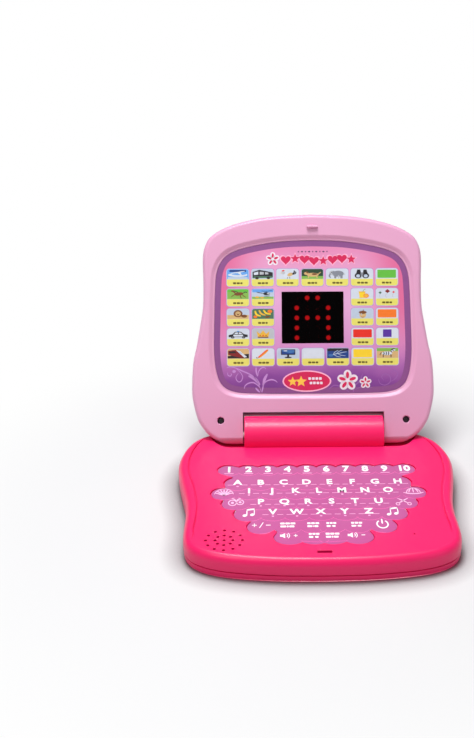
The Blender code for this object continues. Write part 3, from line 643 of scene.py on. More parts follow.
def panel_look():
    """The printed sheet of the lid: purple at the bottom, lilac in the middle, pink at the top and sides."""
    look = Look("panel_print", 0.3, 0.3)
    clouds = look.math("MULTIPLY", look.math("SUBTRACT", look.noise(28.0, 3.0), 0.5), 0.16)
    height = look.math("ADD", look.between(look.part("Y"), 38.5 * MM, 184 * MM, soft=False), clouds)
    upright = look.ramp(height, [
        (0.0, srgb(112, 54, 134)), (0.1, srgb(134, 70, 150)), (0.2, srgb(168, 102, 172)),
        (0.3, srgb(206, 140, 194)), (0.6, srgb(220, 165, 208)), (0.85, srgb(220, 150, 190)),
        (1.0, srgb(218, 122, 168)),
    ])
    side = look.between(look.math("ABSOLUTE", look.part("X")), 40 * MM, 88 * MM)
    upper = look.between(look.part("Y"), 58 * MM, 130 * MM)
    share = look.math("ADD", look.math("MULTIPLY", side, upper), clouds)
    look.colour(look.mix(share, upright, srgb(216, 102, 148)))
    look.bump(look.noise(900.0), 0.004)
    return look.material


def keypad_look():
    look = Look("keypad_print", 0.48, 0.1)
    height = look.between(look.part("Y"), -85 * MM, 50 * MM, soft=False)
    clouds = look.math("MULTIPLY", look.math("SUBTRACT", look.noise(22.0, 2.0), 0.5), 0.5)
    tint = look.ramp(look.math("ADD", height, clouds), [
        (0.0, srgb(186, 74, 142)), (0.5, srgb(181, 80, 144)), (1.0, srgb(178, 82, 141)),
    ])
    look.colour(tint)
    look.bump(look.noise(1100.0, 3.0), 0.012)
    return look.material


def window_look():
    """Smoked plastic that a lit lamp shines through."""
    look = Look("window_black", 0.2)
    look.shader.inputs["Specular IOR Level"].default_value = 0.05
    look.colour(look.mix(look.noise(20.0), srgb(2, 1, 2), srgb(5, 4, 5)))
    clear = look.tree.nodes.new("ShaderNodeBsdfTransparent")
    clear.inputs["Color"].default_value = (0.9, 0.5, 0.5, 1)
    seen = look.cover(0.2, look.shader.outputs[0], clear.outputs[0])
    look.link(seen, look.tree.nodes["Material Output"].inputs["Surface"])
    return look.material


def lamp_look(name, colour, strength):
    """The lens of a lamp: brightest in its middle, where its chip is."""
    look = Look(name, 0.2, 0.4)
    look.colour(look.mix(look.noise(300.0), shade(colour, 0.8), colour))
    facing = look.tree.nodes.new("ShaderNodeLayerWeight")
    facing.inputs["Blend"].default_value = 0.35
    head_on = look.math("SUBTRACT", 1.0, facing.outputs["Facing"])
    dome = look.between(look.part("Z"), -2.4 * MM, -1.0 * MM)
    glow = look.math("MULTIPLY", look.math("MULTIPLY", head_on, dome), strength)
    look.shader.inputs["Emission Color"].default_value = colour
    look.link(glow, look.shader.inputs["Emission Strength"])
    return look.material


def board_look():
    look = Look("board_green", 0.45, 0.3)
    tracks = look.tree.nodes.new("ShaderNodeTexBrick")
    tracks.inputs["Scale"].default_value = 260.0
    tracks.inputs["Mortar Size"].default_value = 0.06
    look.link(look.place, tracks.inputs["Vector"])
    look.colour(look.mix(tracks.outputs["Fac"], srgb(18, 92, 52), srgb(40, 130, 74)))
    look.bump(tracks.outputs["Fac"], 0.03)
    return look.material


def paper_look():
    """The stiff paper of a speaker cone."""
    look = Look("speaker_paper", 0.85)
    fibres = look.noise(700.0)
    look.colour(look.mix(fibres, srgb(38, 38, 42), srgb(64, 62, 66)))
    look.bump(fibres, 0.05)
    return look.material


# Half lengths at which a battery's bands start, each with the width over which it fades in.
COPPER_BAND = (14.5 * MM, 14.8 * MM)
BARE_END = (21.2 * MM, 21.4 * MM)


def cell_look():
    """A battery's wrap: a dark body, a coppery band by each end, and bare metal at the ends."""
    look = Look("cell_wrap", 0.3, 0.4)
    along = look.math("ABSOLUTE", look.part("X"))
    body = look.mix(look.noise(90.0), srgb(28, 46, 58), srgb(42, 66, 80))
    banded = look.mix(look.between(along, *COPPER_BAND), body, srgb(196, 128, 72))
    look.colour(look.mix(look.between(along, *BARE_END), banded, srgb(190, 190, 194)))
    look.link(look.between(along, *BARE_END), look.shader.inputs["Metallic"])
    look.bump(look.noise(500.0), 0.01)
    return look.material


# An opening in the floor, hidden under the base. Light comes up through it, so that the underside shows.
# It has the outline of a superellipse, in metres.
OPENING_HALF = 0.104
OPENING_POWER = 4.0
OPENING_GAP = 2 * MM
# Close to the toy a contact shadow is painted into the floor's colour, over this distance.
SHADOW_REACH = 0.022
# Between these distances from the toy the floor fades to white.
FADE = (0.17, 0.4)


def floor_shade(look):
    """A pale floor with a contact shadow painted into its colour, darker close to the toy."""
    pale = look.mix(look.noise(3.0), srgb(214, 214, 216), srgb(218, 218, 219))
    nearness = look.tree.nodes.new("ShaderNodeAmbientOcclusion")
    nearness.samples = 8
    nearness.inputs["Distance"].default_value = SHADOW_REACH
    openness = look.between(nearness.outputs["AO"], 0.45, 1.0, soft=False)
    # The dark colour is a painted shadow, mixed in where the ambient occlusion finds the toy close by.
    return look.mix(openness, srgb(120, 120, 124), pale)


def floor_clear(look):
    """Where light passes the floor: in the opening, from below, and right beside the underside of the toy."""
    reaches = []
    for axis in "XY":
        share = look.math("DIVIDE", look.math("ABSOLUTE", look.part(axis)), OPENING_HALF)
        reaches.append(look.math("POWER", share, OPENING_POWER))
    opening = look.math("LESS_THAN", look.math("ADD", *reaches), 1.0)
    path = look.tree.nodes.new("ShaderNodeLightPath")
    near = look.math("LESS_THAN", path.outputs["Ray Length"], OPENING_GAP)
    leaving = look.math("MULTIPLY", near, look.math("SUBTRACT", 1.0, path.outputs["Is Camera Ray"]))
    back = look.tree.nodes.new("ShaderNodeNewGeometry").outputs["Backfacing"]
    return look.math("MAXIMUM", look.math("MAXIMUM", opening, leaving), back)


def floor_look():
    """A pale studio floor that fades to white far off, and that can be seen through from below."""
    look = Look("studio_floor", 0.6)
    look.colour(floor_shade(look))
    length = look.tree.nodes.new("ShaderNodeVectorMath")
    length.operation = "LENGTH"
    look.link(look.place, length.inputs[0])
    white = look.tree.nodes.new("ShaderNodeEmission")
    far = look.cover(look.between(length.outputs["Value"], *FADE), look.shader.outputs[0], white.outputs[0])
    clear = look.tree.nodes.new("ShaderNodeBsdfTransparent")
    seen = look.cover(floor_clear(look), far, clear.outputs[0])
    look.link(seen, look.tree.nodes["Material Output"].inputs["Surface"])
    return look.material


HOT_PINK = moulded("shell_pink", (0.87, 0.008, 0.13, 1.0))
LID_PINK = moulded("lid_pink", srgb(217, 158, 191), 0.4, 0.1)
STEEL = metal("steel", (0.62, 0.62, 0.64, 1.0))
# Dark steel: the speaker magnet's own colour, and on the ear screws a painted shade that stands for the
# shadow in their deep wells.
DARK_STEEL_AND_PAINTED_SHADE = metal("dark_steel_and_painted_shade", (0.1, 0.095, 0.1, 1.0), 0.3)
BOARD = board_look()
BLACK_WIRE = moulded("wire_black", srgb(22, 22, 24), 0.5)
NODE_LOOKS = {
    "keypad_membrane": ink("foil", srgb(214, 216, 208)),
    "main_board": BOARD,
    "led_board": BOARD,
    "chip_blob": moulded("resin_black", srgb(24, 24, 26), 0.3),
    "capacitor": moulded("can_grey", srgb(70, 72, 92), 0.3),
    "board_screw": STEEL,
    "speaker_frame": STEEL,
    "speaker_magnet": DARK_STEEL_AND_PAINTED_SHADE,
    "speaker_cone": paper_look(),
    "speaker_cable": BLACK_WIRE,
    "battery_wire_black": BLACK_WIRE,
    "battery_wire_red": moulded("wire_red", srgb(190, 24, 28), 0.5),
    "contact": STEEL,
    "battery_": cell_look(),
    "display_cable": moulded("cable_grey", srgb(120, 120, 124), 0.5),
    "hinge_pin": moulded("pin_plastic", srgb(226, 220, 222), 0.45),
}


# ---------------------------------------------------------------- prints

class Print:
    """A stack of thin flat shapes, each in its own ink."""

    def __init__(self, name):
        self.name = name
        self.points = []
        self.faces = []
        self.inks = []
        self.looks = []

    def index(self, look):
        if look not in self.looks:
            self.looks.append(look)
        return self.looks.index(look)

    def add(self, loop, low, high, look):
        loop = anticlockwise([Vector(p) for p in loop])
        count = len(loop)
        start = len(self.points)
        self.points += [(p.x, p.y, low) for p in loop] + [(p.x, p.y, high) for p in loop]
        faces = [list(range(start, start + count))[::-1], list(range(start + count, start + 2 * count))]
        for i in range(count):
            j = (i + 1) % count
            faces.append([start + i, start + j, start + count + j, start + count + i])
        self.faces += faces
        self.inks += [self.index(look)] * len(faces)

    def add_text(self, text, x, y, size, low, high, look, weight=0.0, wide=1.0):
        """A digit or a letter of the built-in font, centred on x, y."""
        curve = bpy.data.curves.new("glyph", "FONT")
        curve.body = text
        curve.size = size
        curve.offset = weight
        curve.align_x = "CENTER"
        curve.align_y = "CENTER"
        curve.resolution_u = 3
        curve.extrude = (high - low) / 2
        made = bpy.data.objects.new("glyph", curve)
        bpy.context.scene.collection.objects.link(made)
        graph = bpy.context.evaluated_depsgraph_get()
        mesh = bpy.data.meshes.new_from_object(made.evaluated_get(graph))
        start = len(self.points)
        middle = (low + high) / 2
        self.points += [(x + v.co.x * wide, y + v.co.y, middle + v.co.z) for v in mesh.vertices]
        self.faces += [[start + v for v in face.vertices] for face in mesh.polygons]
        self.inks += [self.index(look)] * len(mesh.polygons)
        bpy.data.objects.remove(made)

    def finish(self, body, slot, nodes=()):
        mesh = bpy.data.meshes.new(self.name)
        mesh.from_pydata([Vector(p) * MM for p in self.points], [], self.faces)
        for look in self.looks:
            mesh.materials.append(look)
        mesh.polygons.foreach_set("material_index", self.inks)
        made = bpy.data.objects.new(self.name, mesh)
        bpy.context.scene.collection.objects.link(made)
        return place(made, body, slot, None, nodes)


INKS = {}


def print_ink(red, green, blue):
    """The ink of this screen colour, made the first time that it is asked for."""
    key = (red, green, blue)
    if key not in INKS:
        INKS[key] = ink("ink_%02x%02x%02x" % key, srgb(*key))
    return INKS[key]


# ---------------------------------------------------------------- base

def smoothstep(low, high, value):
    t = min(1.0, max(0.0, (value - low) / (high - low)))
    return t * t * (3 - 2 * t)


def rimmed_block():
    """The upper shell before it is cut. Its rims stand up at the sides only, and run out before the ends."""
    def lift(point, height):
        distance = HINGE.y - point.y
        share = smoothstep(*RIM_STARTS, distance) * (1 - smoothstep(*RIM_RUNS_OUT, distance))
        top = RIM_AT_ENDS + (RIM - RIM_AT_ENDS) * share
        return TOP_LOW + (height - TOP_LOW) * (top - TOP_LOW) / (RIM - TOP_LOW)

    edge = TOP_LIP + quarter(RIM_ROUND, RIM_WALL_TOP, RIM, 12) + [(15, RIM)]
    return loft("base_top", mirrored(from_hinge(BASE_HALF)), edge, lift)


def ear_pockets(shell):
    """The two pockets behind the deck that the lid's ears turn in."""
    for side in (-1, 1):
        first, *middle, last = [(side * x, HINGE.y - distance) for x, distance in POCKET_PLAN]
        plan = anticlockwise([Vector(first), *smooth(middle, 5), Vector(last)])
        cut(shell, loft("pocket", plan, POCKET_SIDES))


def barrel(shell):
    """The hinge barrel, on a foot that fills the corner between it and the deck."""
    near = [(BARREL_R - down, along - BARREL_HALF) for down, along in BARREL_END]
    far = [(radius, -height) for radius, height in near[::-1]]
    drum = turned("barrel", [(0, -BARREL_HALF), *near, *far, (0, BARREL_HALF)], 96)
    half = BARREL_HALF - 0.3
    low = (-half, HINGE.y - BARREL_FOOT_R, BARREL_FOOT_Z[0])
    high = (half, HINGE.y + BARREL_FOOT_R, BARREL_FOOT_Z[1])
    join(shell, moved(drum, (0, HINGE.y, HINGE.z), TO_X), box("foot", low, high))


def hollow_out(shell):
    """The room in the shell, with walls left round the ear pockets, and then the room in the barrel."""
    hollow = loft("hollow", mirrored(from_hinge(BASE_HALF), 2), TOP_HOLLOW)
    for side in (-1, 1):
        left, right = sorted(side * x for x in POCKET_WALL_X)
        low = (left, HINGE.y - POCKET_WALL_FRONT, POCKET_WALL_LOW)
        cut(hollow, box("walls", low, (right, HINGE.y + POCKET_WALL_BACK, ABOVE + 10)))
    cut(shell, hollow)
    inner = BARREL_R - BARREL_WALL
    half = BARREL_HALF - BARREL_WALL
    tube = moved(rod("tube", inner, -half, half, 0, 0, 48), (0, HINGE.y, HINGE.z), TO_X)
    cut(shell, tube, box("under", (-half, HINGE.y - inner, 5), (half, HINGE.y + inner, HINGE.z)))


def deck_holes():
    """The middle and the radius of each round hole in the deck: the speaker grille, and a small one."""
    for radius, count in GRILLE_RINGS:
        for i in range(count):
            angle = 2 * math.pi * i / count
            x = SPEAKER[0] + radius * math.cos(angle)
            yield x, HINGE.y - SPEAKER[1] + radius * math.sin(angle), GRILLE_HOLE_R
    yield SMALL_HOLE[0], HINGE.y - SMALL_HOLE[1], SMALL_HOLE_R


def base_top():
    """The upper shell."""
    shell = rimmed_block()
    cut(shell, loft("sunk", mirrored(from_hinge(SUNK_HALF)), DECK_SIDES), rim_groove(-1), rim_groove(1))
    ear_pockets(shell)
    barrel(shell)
    hollow_out(shell)
    cut(shell, loft("sink", keypad_loop(SINK_MARGIN), SINK_SIDES), box("tail_slot", *TAIL_SLOT))
    y = HINGE.y - TAB_L
    slot = rounded(-SLOT_HALF_WIDE, y - SLOT_HALF_DEEP, SLOT_HALF_WIDE, y + SLOT_HALF_DEEP, 0.7)
    cut(shell, loft("slot", slot, SLOT_SIDES))
    for x, y, radius in deck_holes():
        cut(shell, rod("hole", radius, CEILING - 2, RIM + 2, x, y, 16))
    bore = rod("bore", PIN_HOLE_R, -PIN_BORE_HALF, PIN_BORE_HALF, 0, 0)
    cut(shell, moved(bore, (0, HINGE.y, HINGE.z), TO_X))
    place(shell, "base", "shell_pink", HOT_PINK, ["base_top_shell"])


# The part of the deck's outline, in points of its curve, that has a crease along it.
CREASE_SPAN = slice(13, 67)


def rim_groove(side):
    """The fine crease along the foot of one side rim."""
    path = [Vector((side * p.x, p.y)) for p in smooth(from_hinge(SUNK_HALF), 6)[CREASE_SPAN]]
    foot = []
    for before, point, after in zip(path, path[1:], path[2:]):
        along = (after - before).normalized()
        foot.append(point - Vector((-along.y, along.x)) * side * CREASE_WIDE / 2)
    return prism("groove", anticlockwise(ribbon(foot, CREASE_WIDE, 1, 0.35)), DECK - CREASE_DEEP, DECK + 0.4)


def battery_bay(shell):
    """The compartment above the battery door, with the boss of its screw and the slots for its tabs."""
    low, high = node_box("battery_door")
    front = low.y + DOOR_TAB_LONG
    side = high.x + BAY_GAP
    back = high.y + BAY_GAP
    outer = (side + BAY_WALL, back + BAY_WALL, BAY_ROOF + BAY_WALL)
    join(shell, box("bay", (-side - BAY_WALL, front - BAY_WALL, 1.0), outer))
    cut(shell, box("bay_hollow", (-side, front, -1), (side, back, BAY_ROOF)))
    screw_y = node_middle("battery_door_screw").y
    web = box("web", (-1.0, screw_y + 2.9, 2.8), (1.0, back + 0.5, BAY_ROOF + 0.5))
    join(shell, web, rod("boss", 3.6, 2.3, BAY_ROOF + 0.6, 0, screw_y))
    cut(shell, rod("pilot", 2.45, -1, BAY_ROOF - 2, 0, screw_y))
    for x in (-DOOR_TAB_X, DOOR_TAB_X):
        cut(shell, box("tab_slot", (x - 4.5, front - 4, 2.1), (x + 4.5, front + 1, 6.2)))
    cut(shell, box("wire_gate", (2 - side, front - 3, 11.2), (side - 2, front + 1, BAY_ROOF)))


def base_bottom():
    """The lower shell, with the battery compartment and the wells of its screws."""
    shell = loft("base_bottom", mirrored(from_hinge(BASE_HALF)), BOTTOM_OUTSIDE + BOTTOM_INSIDE)
    battery_bay(shell)
    for i in range(6):
        middle = node_middle(f"base_screw_{i + 1}")
        join(shell, rod("pillar", 5.0, 1.0, 5.6, middle.x, middle.y))
        cut(shell, moved(turned("well", SCREW_WELL), (middle.x, middle.y, 0)))
        cut(shell, rod("screw_hole", SCREW_HOLE_R, 1, 7, middle.x, middle.y, 12))
    place(shell, "base", "shell_pink", HOT_PINK, ["base_bottom_shell"])


# The cross recess of a screw, as shares of the radius of its head, and its turn in degrees.
CROSS_LONG = 0.55
CROSS_WIDE = 0.13
CROSS_TURN = 20


def cross_screw(name, size, length):
    """A screw with its head downwards from z = 0 and a cross recess in it."""
    head_r, head_tall, shank_r = size
    profile = [(0, 0), (head_r * 0.55, 0.05), (head_r * 0.85, 0.3), (head_r, 0.8), (head_r, head_tall)]
    profile += [(shank_r, head_tall), (shank_r, length - 1.2), (0.4, length), (0, length)]
    made = turned(name, profile, 28)
    long, wide = head_r * CROSS_LONG, head_r * CROSS_WIDE
    for turn in (CROSS_TURN, CROSS_TURN + 90):
        blade = box("blade", (-long, -wide, -1), (long, wide, head_tall * 0.6))
        cut(made, moved(blade, (0, 0, 0), Matrix.Rotation(math.radians(turn), 4, "Z")))
    return made


def node_screw(name, node, size, body):
    """A screw in the place of a CAD node, with its head downwards."""
    low, high = node_box(node)
    made = cross_screw(name, size, high.z - low.z)
    moved(made, (*node_middle(node).xy, low.z))
    place(made, body, "steel", STEEL, [node])


def screws():
    for i in range(6):
        node_screw(f"shell_screw_{i + 1}", f"base_screw_{i + 1}", SHELL_SCREW, "base")
    for name, side in (("left", -1), ("right", 1)):
        made = cross_screw(f"ear_screw_{name}", SHELL_SCREW, EAR_SCREW_LONG)
        moved(made, (side * LID_SCREW_X, LID_SCREW_L, EAR_SCREW_TOP), UPSIDE_DOWN)
        # The ear screws are darkened to near-black steel: painted shade for the shadow in their deep wells.
        place(made, "lid", "steel", DARK_STEEL_AND_PAINTED_SHADE, [f"lid_screw_{name}"])
    node_screw("door_screw", "battery_door_screw", DOOR_SCREW, "battery_door")


DOOR_PLATE = [(0.35, 0.1), (0.1, 0.2), (0, 0.45), (0, 1.9)]
# The thumb grooves of the door: half the width of the first, and how the others step in and back.
THUMB_GROOVES = 5
THUMB_HALF = 9
THUMB_STEP_IN = 0.8
THUMB_PITCH = 2.2


def battery_door():
    """The door, with its two tabs and a row of thumb grooves."""
    low, high = node_box("battery_door")
    front = low.y + DOOR_TAB_LONG
    door = loft("battery_cover", rounded(low.x, front, high.x, high.y, 0.8), DOOR_PLATE)
    for x in (-DOOR_TAB_X, DOOR_TAB_X):
        arm = box("tab", (x - 4, low.y, 2.4), (x + 4, front + 2.6, 3.8))
        join(door, box("root", (x - 3.7, front + 0.2, 1.4), (x + 3.7, front + 2.2, 2.6)), arm)
    for i in range(THUMB_GROOVES):
        y = front + 7 + i * THUMB_PITCH
        half = THUMB_HALF - i * THUMB_STEP_IN
        cut(door, box("groove", (-half, y, -1), (half, y + 0.9, 0.55)))
    screw_y = node_middle("battery_door_screw").y
    cut(door, rod("counterbore", 3.3, -1, 0.9, 0, screw_y), rod("hole", 1.45, 0, 3, 0, screw_y))
    place(door, "battery_door", "shell_pink", HOT_PINK, ["battery_door"])


# ---------------------------------------------------------------- keypad

WHITE_INK = print_ink(255, 250, 254)
LINE_INK = ink("cell_line", srgb(226, 62, 150))
PALE_LINE_INK = ink("cell_pale_line", srgb(250, 130, 200))
FAINT_INK = print_ink(242, 176, 220)
MARK_INK = print_ink(244, 190, 226)
# Heights of the printed layers: the legends stand a hair above the sheet, and the cell lines lie in between.
SHEET_TOP = KEY_TOP - 0.05
LEGEND_LAYER = (KEY_TOP - 0.055, KEY_TOP)
CELL_LAYER = (KEY_TOP - 0.085, KEY_TOP - 0.045)
# How far each row of glyphs sits above its row line.
GLYPH_RISES = [-1.2, 0.0, 2.2, 0.6, 0.8]
KEY_GLYPHS = [
    [str(i) for i in range(1, 11)],
    list("ABCDEFGH"),
    list("IJKLMNO"),
    list("PQRSTU"),
    list("VWXYZ"),
]


def digit_legend(legends, digit, x, y):
    """A digit with a line under it."""
    legends.add_text(digit, x, y, 13.6, *LEGEND_LAYER, WHITE_INK, 0.55, 0.86)
    legends.add(rounded(x - 4.2, y - 7.6, x + 4.2, y - 6.6, 0.4), *LEGEND_LAYER, FAINT_INK)


def letter_legend(legends, letter, x, y):
    """A letter between two short lines, with a dot under it."""
    legends.add_text(letter, x, y, 11.8, *LEGEND_LAYER, WHITE_INK, 0.4, 0.92)
    for side in (-1, 1):
        left, right = sorted((side * 3.6, side * 8.8))
        legends.add(rounded(x + left, y - 4.5, x + right, y - 3.8, 0.3), *LEGEND_LAYER, FAINT_INK)
    legends.add(rounded(x - 1.0, y - 7.6, x + 1.0, y - 5.9, 0.6), *LEGEND_LAYER, FAINT_INK)


def keypad():
    """The film with its scalloped edge, and all that is printed on it."""
    sheet = prism("keypad_sheet", keypad_loop(), KEY_LOW, SHEET_TOP)
    place(sheet, "base", "keypad_print", keypad_look(), ["keypad_overlay"])
    legends = Print("key_legends")
    for (distance, keys, _, _), glyphs, rise in zip(KEY_ROWS, KEY_GLYPHS, GLYPH_RISES):
        for x, glyph in zip(keys, glyphs):
            legend = digit_legend if glyph.isdigit() else letter_legend
            legend(legends, glyph, x, HINGE.y - distance + rise)
    for loops, x, distance, (wide, tall), ink_used in marks():
        for loop in loops:
            placed = [(x + p[0] * wide, HINGE.y - distance + p[1] * tall) for p in loop]
            legends.add(placed, *LEGEND_LAYER, ink_used)
    legends.finish("base", "keypad_print")
    cells()


def bar(left, low, right, high):
    return [(left, low), (right, low), (right, high), (left, high)]


def fan():
    loops = []
    for i in range(7):
        angle = math.radians(20 + i * 23.3)
        x, y = 6.4 * math.cos(angle), 5.4 * math.sin(angle) - 2.4
        loops.append(ribbon([(0, -3.2), (x * 0.6, y * 0.6 - 0.8), (x, y)], 0.9, 3, 0.4))
    return loops + [ribbon(arc(0, -2.743, 6.4, 10, 170, 14), 0.5, 1)]


def hat():
    brim = ribbon([(-6.8, -1.4), (-3.0, -2.6), (3.0, -2.6), (6.8, -1.4)], 0.9, 4, 0.5)
    folds = [ribbon([(x * 1.3, -1.6), (x, 1.0), (x * 0.4, 2.6)], 0.8, 3, 0.5) for x in (-2.4, 0, 2.4)]
    return [brim, ribbon(arc(0, -1.8, 4.6, 0, 180, 16), 0.6, 1), *folds]


def fruit():
    rings = [ribbon(arc(x, y, r, 0, 360, 20), 0.7, 1) for x, y, r in ((-2.4, 0, 2.6), (2.6, 0.5, 2.3))]
    hearts = [oval(-2.4, 0, 1.0, 1.0), oval(2.6, 0.5, 0.9, 0.9)]
    stalks = [ribbon([(0, 2.0), (lean * 0.5, 3.6), (lean, 4.4)], 0.7, 3, 0.5) for lean in (-3, 3)]
    return rings + hearts + stalks


def scissors():
    loops = []
    for side in (-1, 1):
        loops.append(ribbon([(side * 3.0, -1.6), (0, 0.6), (side * -3.4, 3.0)], 0.9, 3, 0.5))
        loops.append(ribbon(arc(side * 3.8, -2.4, 1.2, 0, 360, 14), 0.6, 1))
    return loops


def notes():
    heads = [oval(-2.6, -2.6, 1.5, 1.1, 20), oval(2.2, -1.9, 1.5, 1.1, 20)]
    stems = [bar(-1.6, -2.6, -1.0, 3.0), bar(3.2, -1.9, 3.8, 3.9)]
    return heads + stems + [[(-1.6, 1.9), (3.8, 2.8), (3.8, 4.1), (-1.6, 3.2)]]


def plus_and_minus():
    slash = [(-1.6, -2.4), (-1.0, -2.4), (1.4, 2.4), (0.8, 2.4)]
    return [bar(-6.0, -0.3, -3.0, 0.3), bar(-4.8, -1.5, -4.2, 1.5), slash, bar(2.8, -0.3, 5.8, 0.3)]


def power_sign():
    return [ribbon(arc(0, 0, 3.5, -235, 55, 24), 0.9, 1), rounded(-0.45, 0.4, 0.45, 4.6, 0.4)]


def dashes(half):
    """Two rows of dashes in the place of a word."""
    loops = []
    for row, y in enumerate((1.3, -1.3)):
        ends = [-half, -half * 0.35 + row, half * 0.3 - row, half - row * 0.9]
        loops += [rounded(left, y - 0.75, right - 0.5, y + 0.75, 0.4) for left, right in zip(ends, ends[1:])]
    return loops


def loudspeaker(louder):
    """A loudspeaker with two waves, and a plus or a minus sign."""
    horn = [(-6.2, -0.9), (-4.8, -0.9), (-3.0, -2.2), (-3.0, 2.2), (-4.8, 0.9), (-6.2, 0.9)]
    waves = [ribbon(arc(-3.0, 0, radius, -50, 50, 8), 0.5, 1) for radius in (1.6, 2.8)]
    sign = [bar(2.4, -0.3, 4.8, 0.3), bar(3.3, -1.2, 3.9, 1.2)]
    return [horn, *waves, *(sign if louder else sign[:1])]


MARK_SCALE = (1.3, 1.75)
DASH_SCALE = (1.05, 1.8)
# The keys with dashes: (x, distance from the hinge line, half width of the dashes).
DASHED_KEYS = [
    (-28, 154.5, 6.2), (-7, 154.5, 5.0), (8, 154.5, 4.2), (29, 154.5, 4.6), (-7, 171.1, 4.4), (8, 171.1, 5.6),
]


def marks():
    """What is drawn on the other keys: (outlines, x, distance from the hinge line, scale, ink)."""
    yield fan(), -82.3, 99.8, MARK_SCALE, MARK_INK
    yield hat(), 82.3, 99.8, MARK_SCALE, MARK_INK
    yield fruit(), -71.5, 117.6, MARK_SCALE, MARK_INK
    yield scissors(), 71.5, 117.6, MARK_SCALE, MARK_INK
    for x in (-60.5, 60.5):
        yield notes(), x, 134.3, MARK_SCALE, WHITE_INK
    yield plus_and_minus(), -50, 154.5, MARK_SCALE, WHITE_INK
    yield power_sign(), 50, 154.5, MARK_SCALE, WHITE_INK
    for x, distance, half in DASHED_KEYS:
        yield dashes(half), x, distance, DASH_SCALE, WHITE_INK
    for x, louder in ((-27, True), (28, False)):
        yield loudspeaker(louder), x, 171.1, MARK_SCALE, WHITE_INK


# The arc under each key area: its first angle and its sweep, in degrees, and the number of its steps.
CELL_START = 205
CELL_SWEEP = 130
CELL_STEPS = 16


def cells():
    """Thin printed arcs that show where one key area ends and the next begins."""
    made = Print("key_cells")
    inner = keypad_loop(-1.2)
    for distance, keys, half_wide, half_deep in KEY_ROWS:
        y = HINGE.y - distance - KEY_DROP
        for x in keys:
            angles = [math.radians(CELL_START + CELL_SWEEP * i / CELL_STEPS) for i in range(CELL_STEPS + 1)]
            path = [(x + half_wide * 0.97 * math.cos(a), y + half_deep * 0.9 * math.sin(a)) for a in angles]
            path = [point for point in path if is_inside(point, inner)]
            if len(path) > 3:
                under = [(px, py - 0.42) for px, py in path]
                made.add(ribbon(path, 0.35, 1, 0.5), *CELL_LAYER, LINE_INK)
                made.add(ribbon(under, 0.25, 1, 0.5), *CELL_LAYER, PALE_LINE_INK)
    made.finish("base", "keypad_print")


def is_inside(point, loop):
    """Whether a point is inside a loop, by counting the edges that a ray to the right crosses."""
    inside = False
    for a, b in zip(loop, loop[1:] + loop[:1]):
        if (a.y > point[1]) != (b.y > point[1]):
            if point[0] < a.x + (b.x - a.x) * (point[1] - a.y) / (b.y - a.y):
                inside = not inside
    return inside


# ---------------------------------------------------------------- lid

def ear_rounder(name, radius):
    """What is cut away below the ears so that their ends are round, seen from the side."""
    turns = 32
    loop = [Vector((-40, -40)), Vector((EAR_L, -40))]
    for i in range(turns + 1):
        angle = -math.pi / 2 - math.pi * i / turns
        loop.append(Vector((EAR_L + radius * math.cos(angle), EAR_N + radius * math.sin(angle))))
    loop += [Vector((EAR_L, 40)), Vector((-40, 40))]
    made = prism(name, anticlockwise(loop), -130, 130)
    made.data.transform(Matrix(((0, 0, 1, 0), (1, 0, 0, 0), (0, 1, 0, 0), (0, 0, 0, 1))))
    return made


def cutout(name, margin, size=FRONT_CUTOUT):
    half, top = size
    return box(name, (-half - margin, -30, LID_BACK - 5), (half + margin, top + margin, LID_FRONT + 5))


def pin_notch(shell, side):
    """The open bearing that a hinge pin lies in."""
    left, right = sorted((side * (BACK_CUTOUT[0] - 1), side * PIN_NOTCH_END))
    cut(shell, moved(rod("bore", PIN_HOLE_R, left, right, 0, 0), (0, 0, 0), TO_X))


def lid_front():
    """The bezel, with a sloping recess for the panel, a window, two screw wells and the latch tab."""
    edge = BEZEL_LIP + quarter(BEZEL_ROUND, BEZEL_WALL_TOP, LID_FRONT, 10)
    bezel = loft("bezel", mirrored(LID_HALF), edge)
    cut(bezel, ear_rounder("round", EAR_R), cutout("cutout", 0))
    hollow = loft("hollow", mirrored(LID_HALF, 2), BEZEL_HOLLOW)
    cut(hollow, ear_rounder("round", EAR_R - EAR_WALL), cutout("cutout", 2))
    panel = mirrored(PANEL_HALF)
    cut(hollow, loft("block", panel, PANEL_BLOCK))
    cut(bezel, hollow, loft("recess", panel, PANEL_SLOPE))
    half = WINDOW_HALF - 2
    cut(bezel, box("window", (-half, WINDOW_LOW + 2, -8), (half, WINDOW_HIGH - 2, 8)))
    for side in (-1, 1):
        pin_notch(bezel, side)
        x = side * LID_SCREW_X
        join(bezel, rod("tube", 4.8, LID_SEAM + 0.1, 3.0, x, LID_SCREW_L))
        cut(bezel, moved(turned("well", EAR_WELL, 40), (x, LID_SCREW_L, 0)))
        cut(bezel, rod("hole", SCREW_HOLE_R, LID_SEAM - 1, 0, x, LID_SCREW_L))
    wide, deep = TAB_HALF
    tab = rounded(-wide, TAB_L - deep, wide, TAB_L + deep, 1.05)
    join(bezel, loft("tab", tab, TAB_SIDES))
    place(bezel, "lid", "lid_pink", LID_PINK, ["lid_front"])


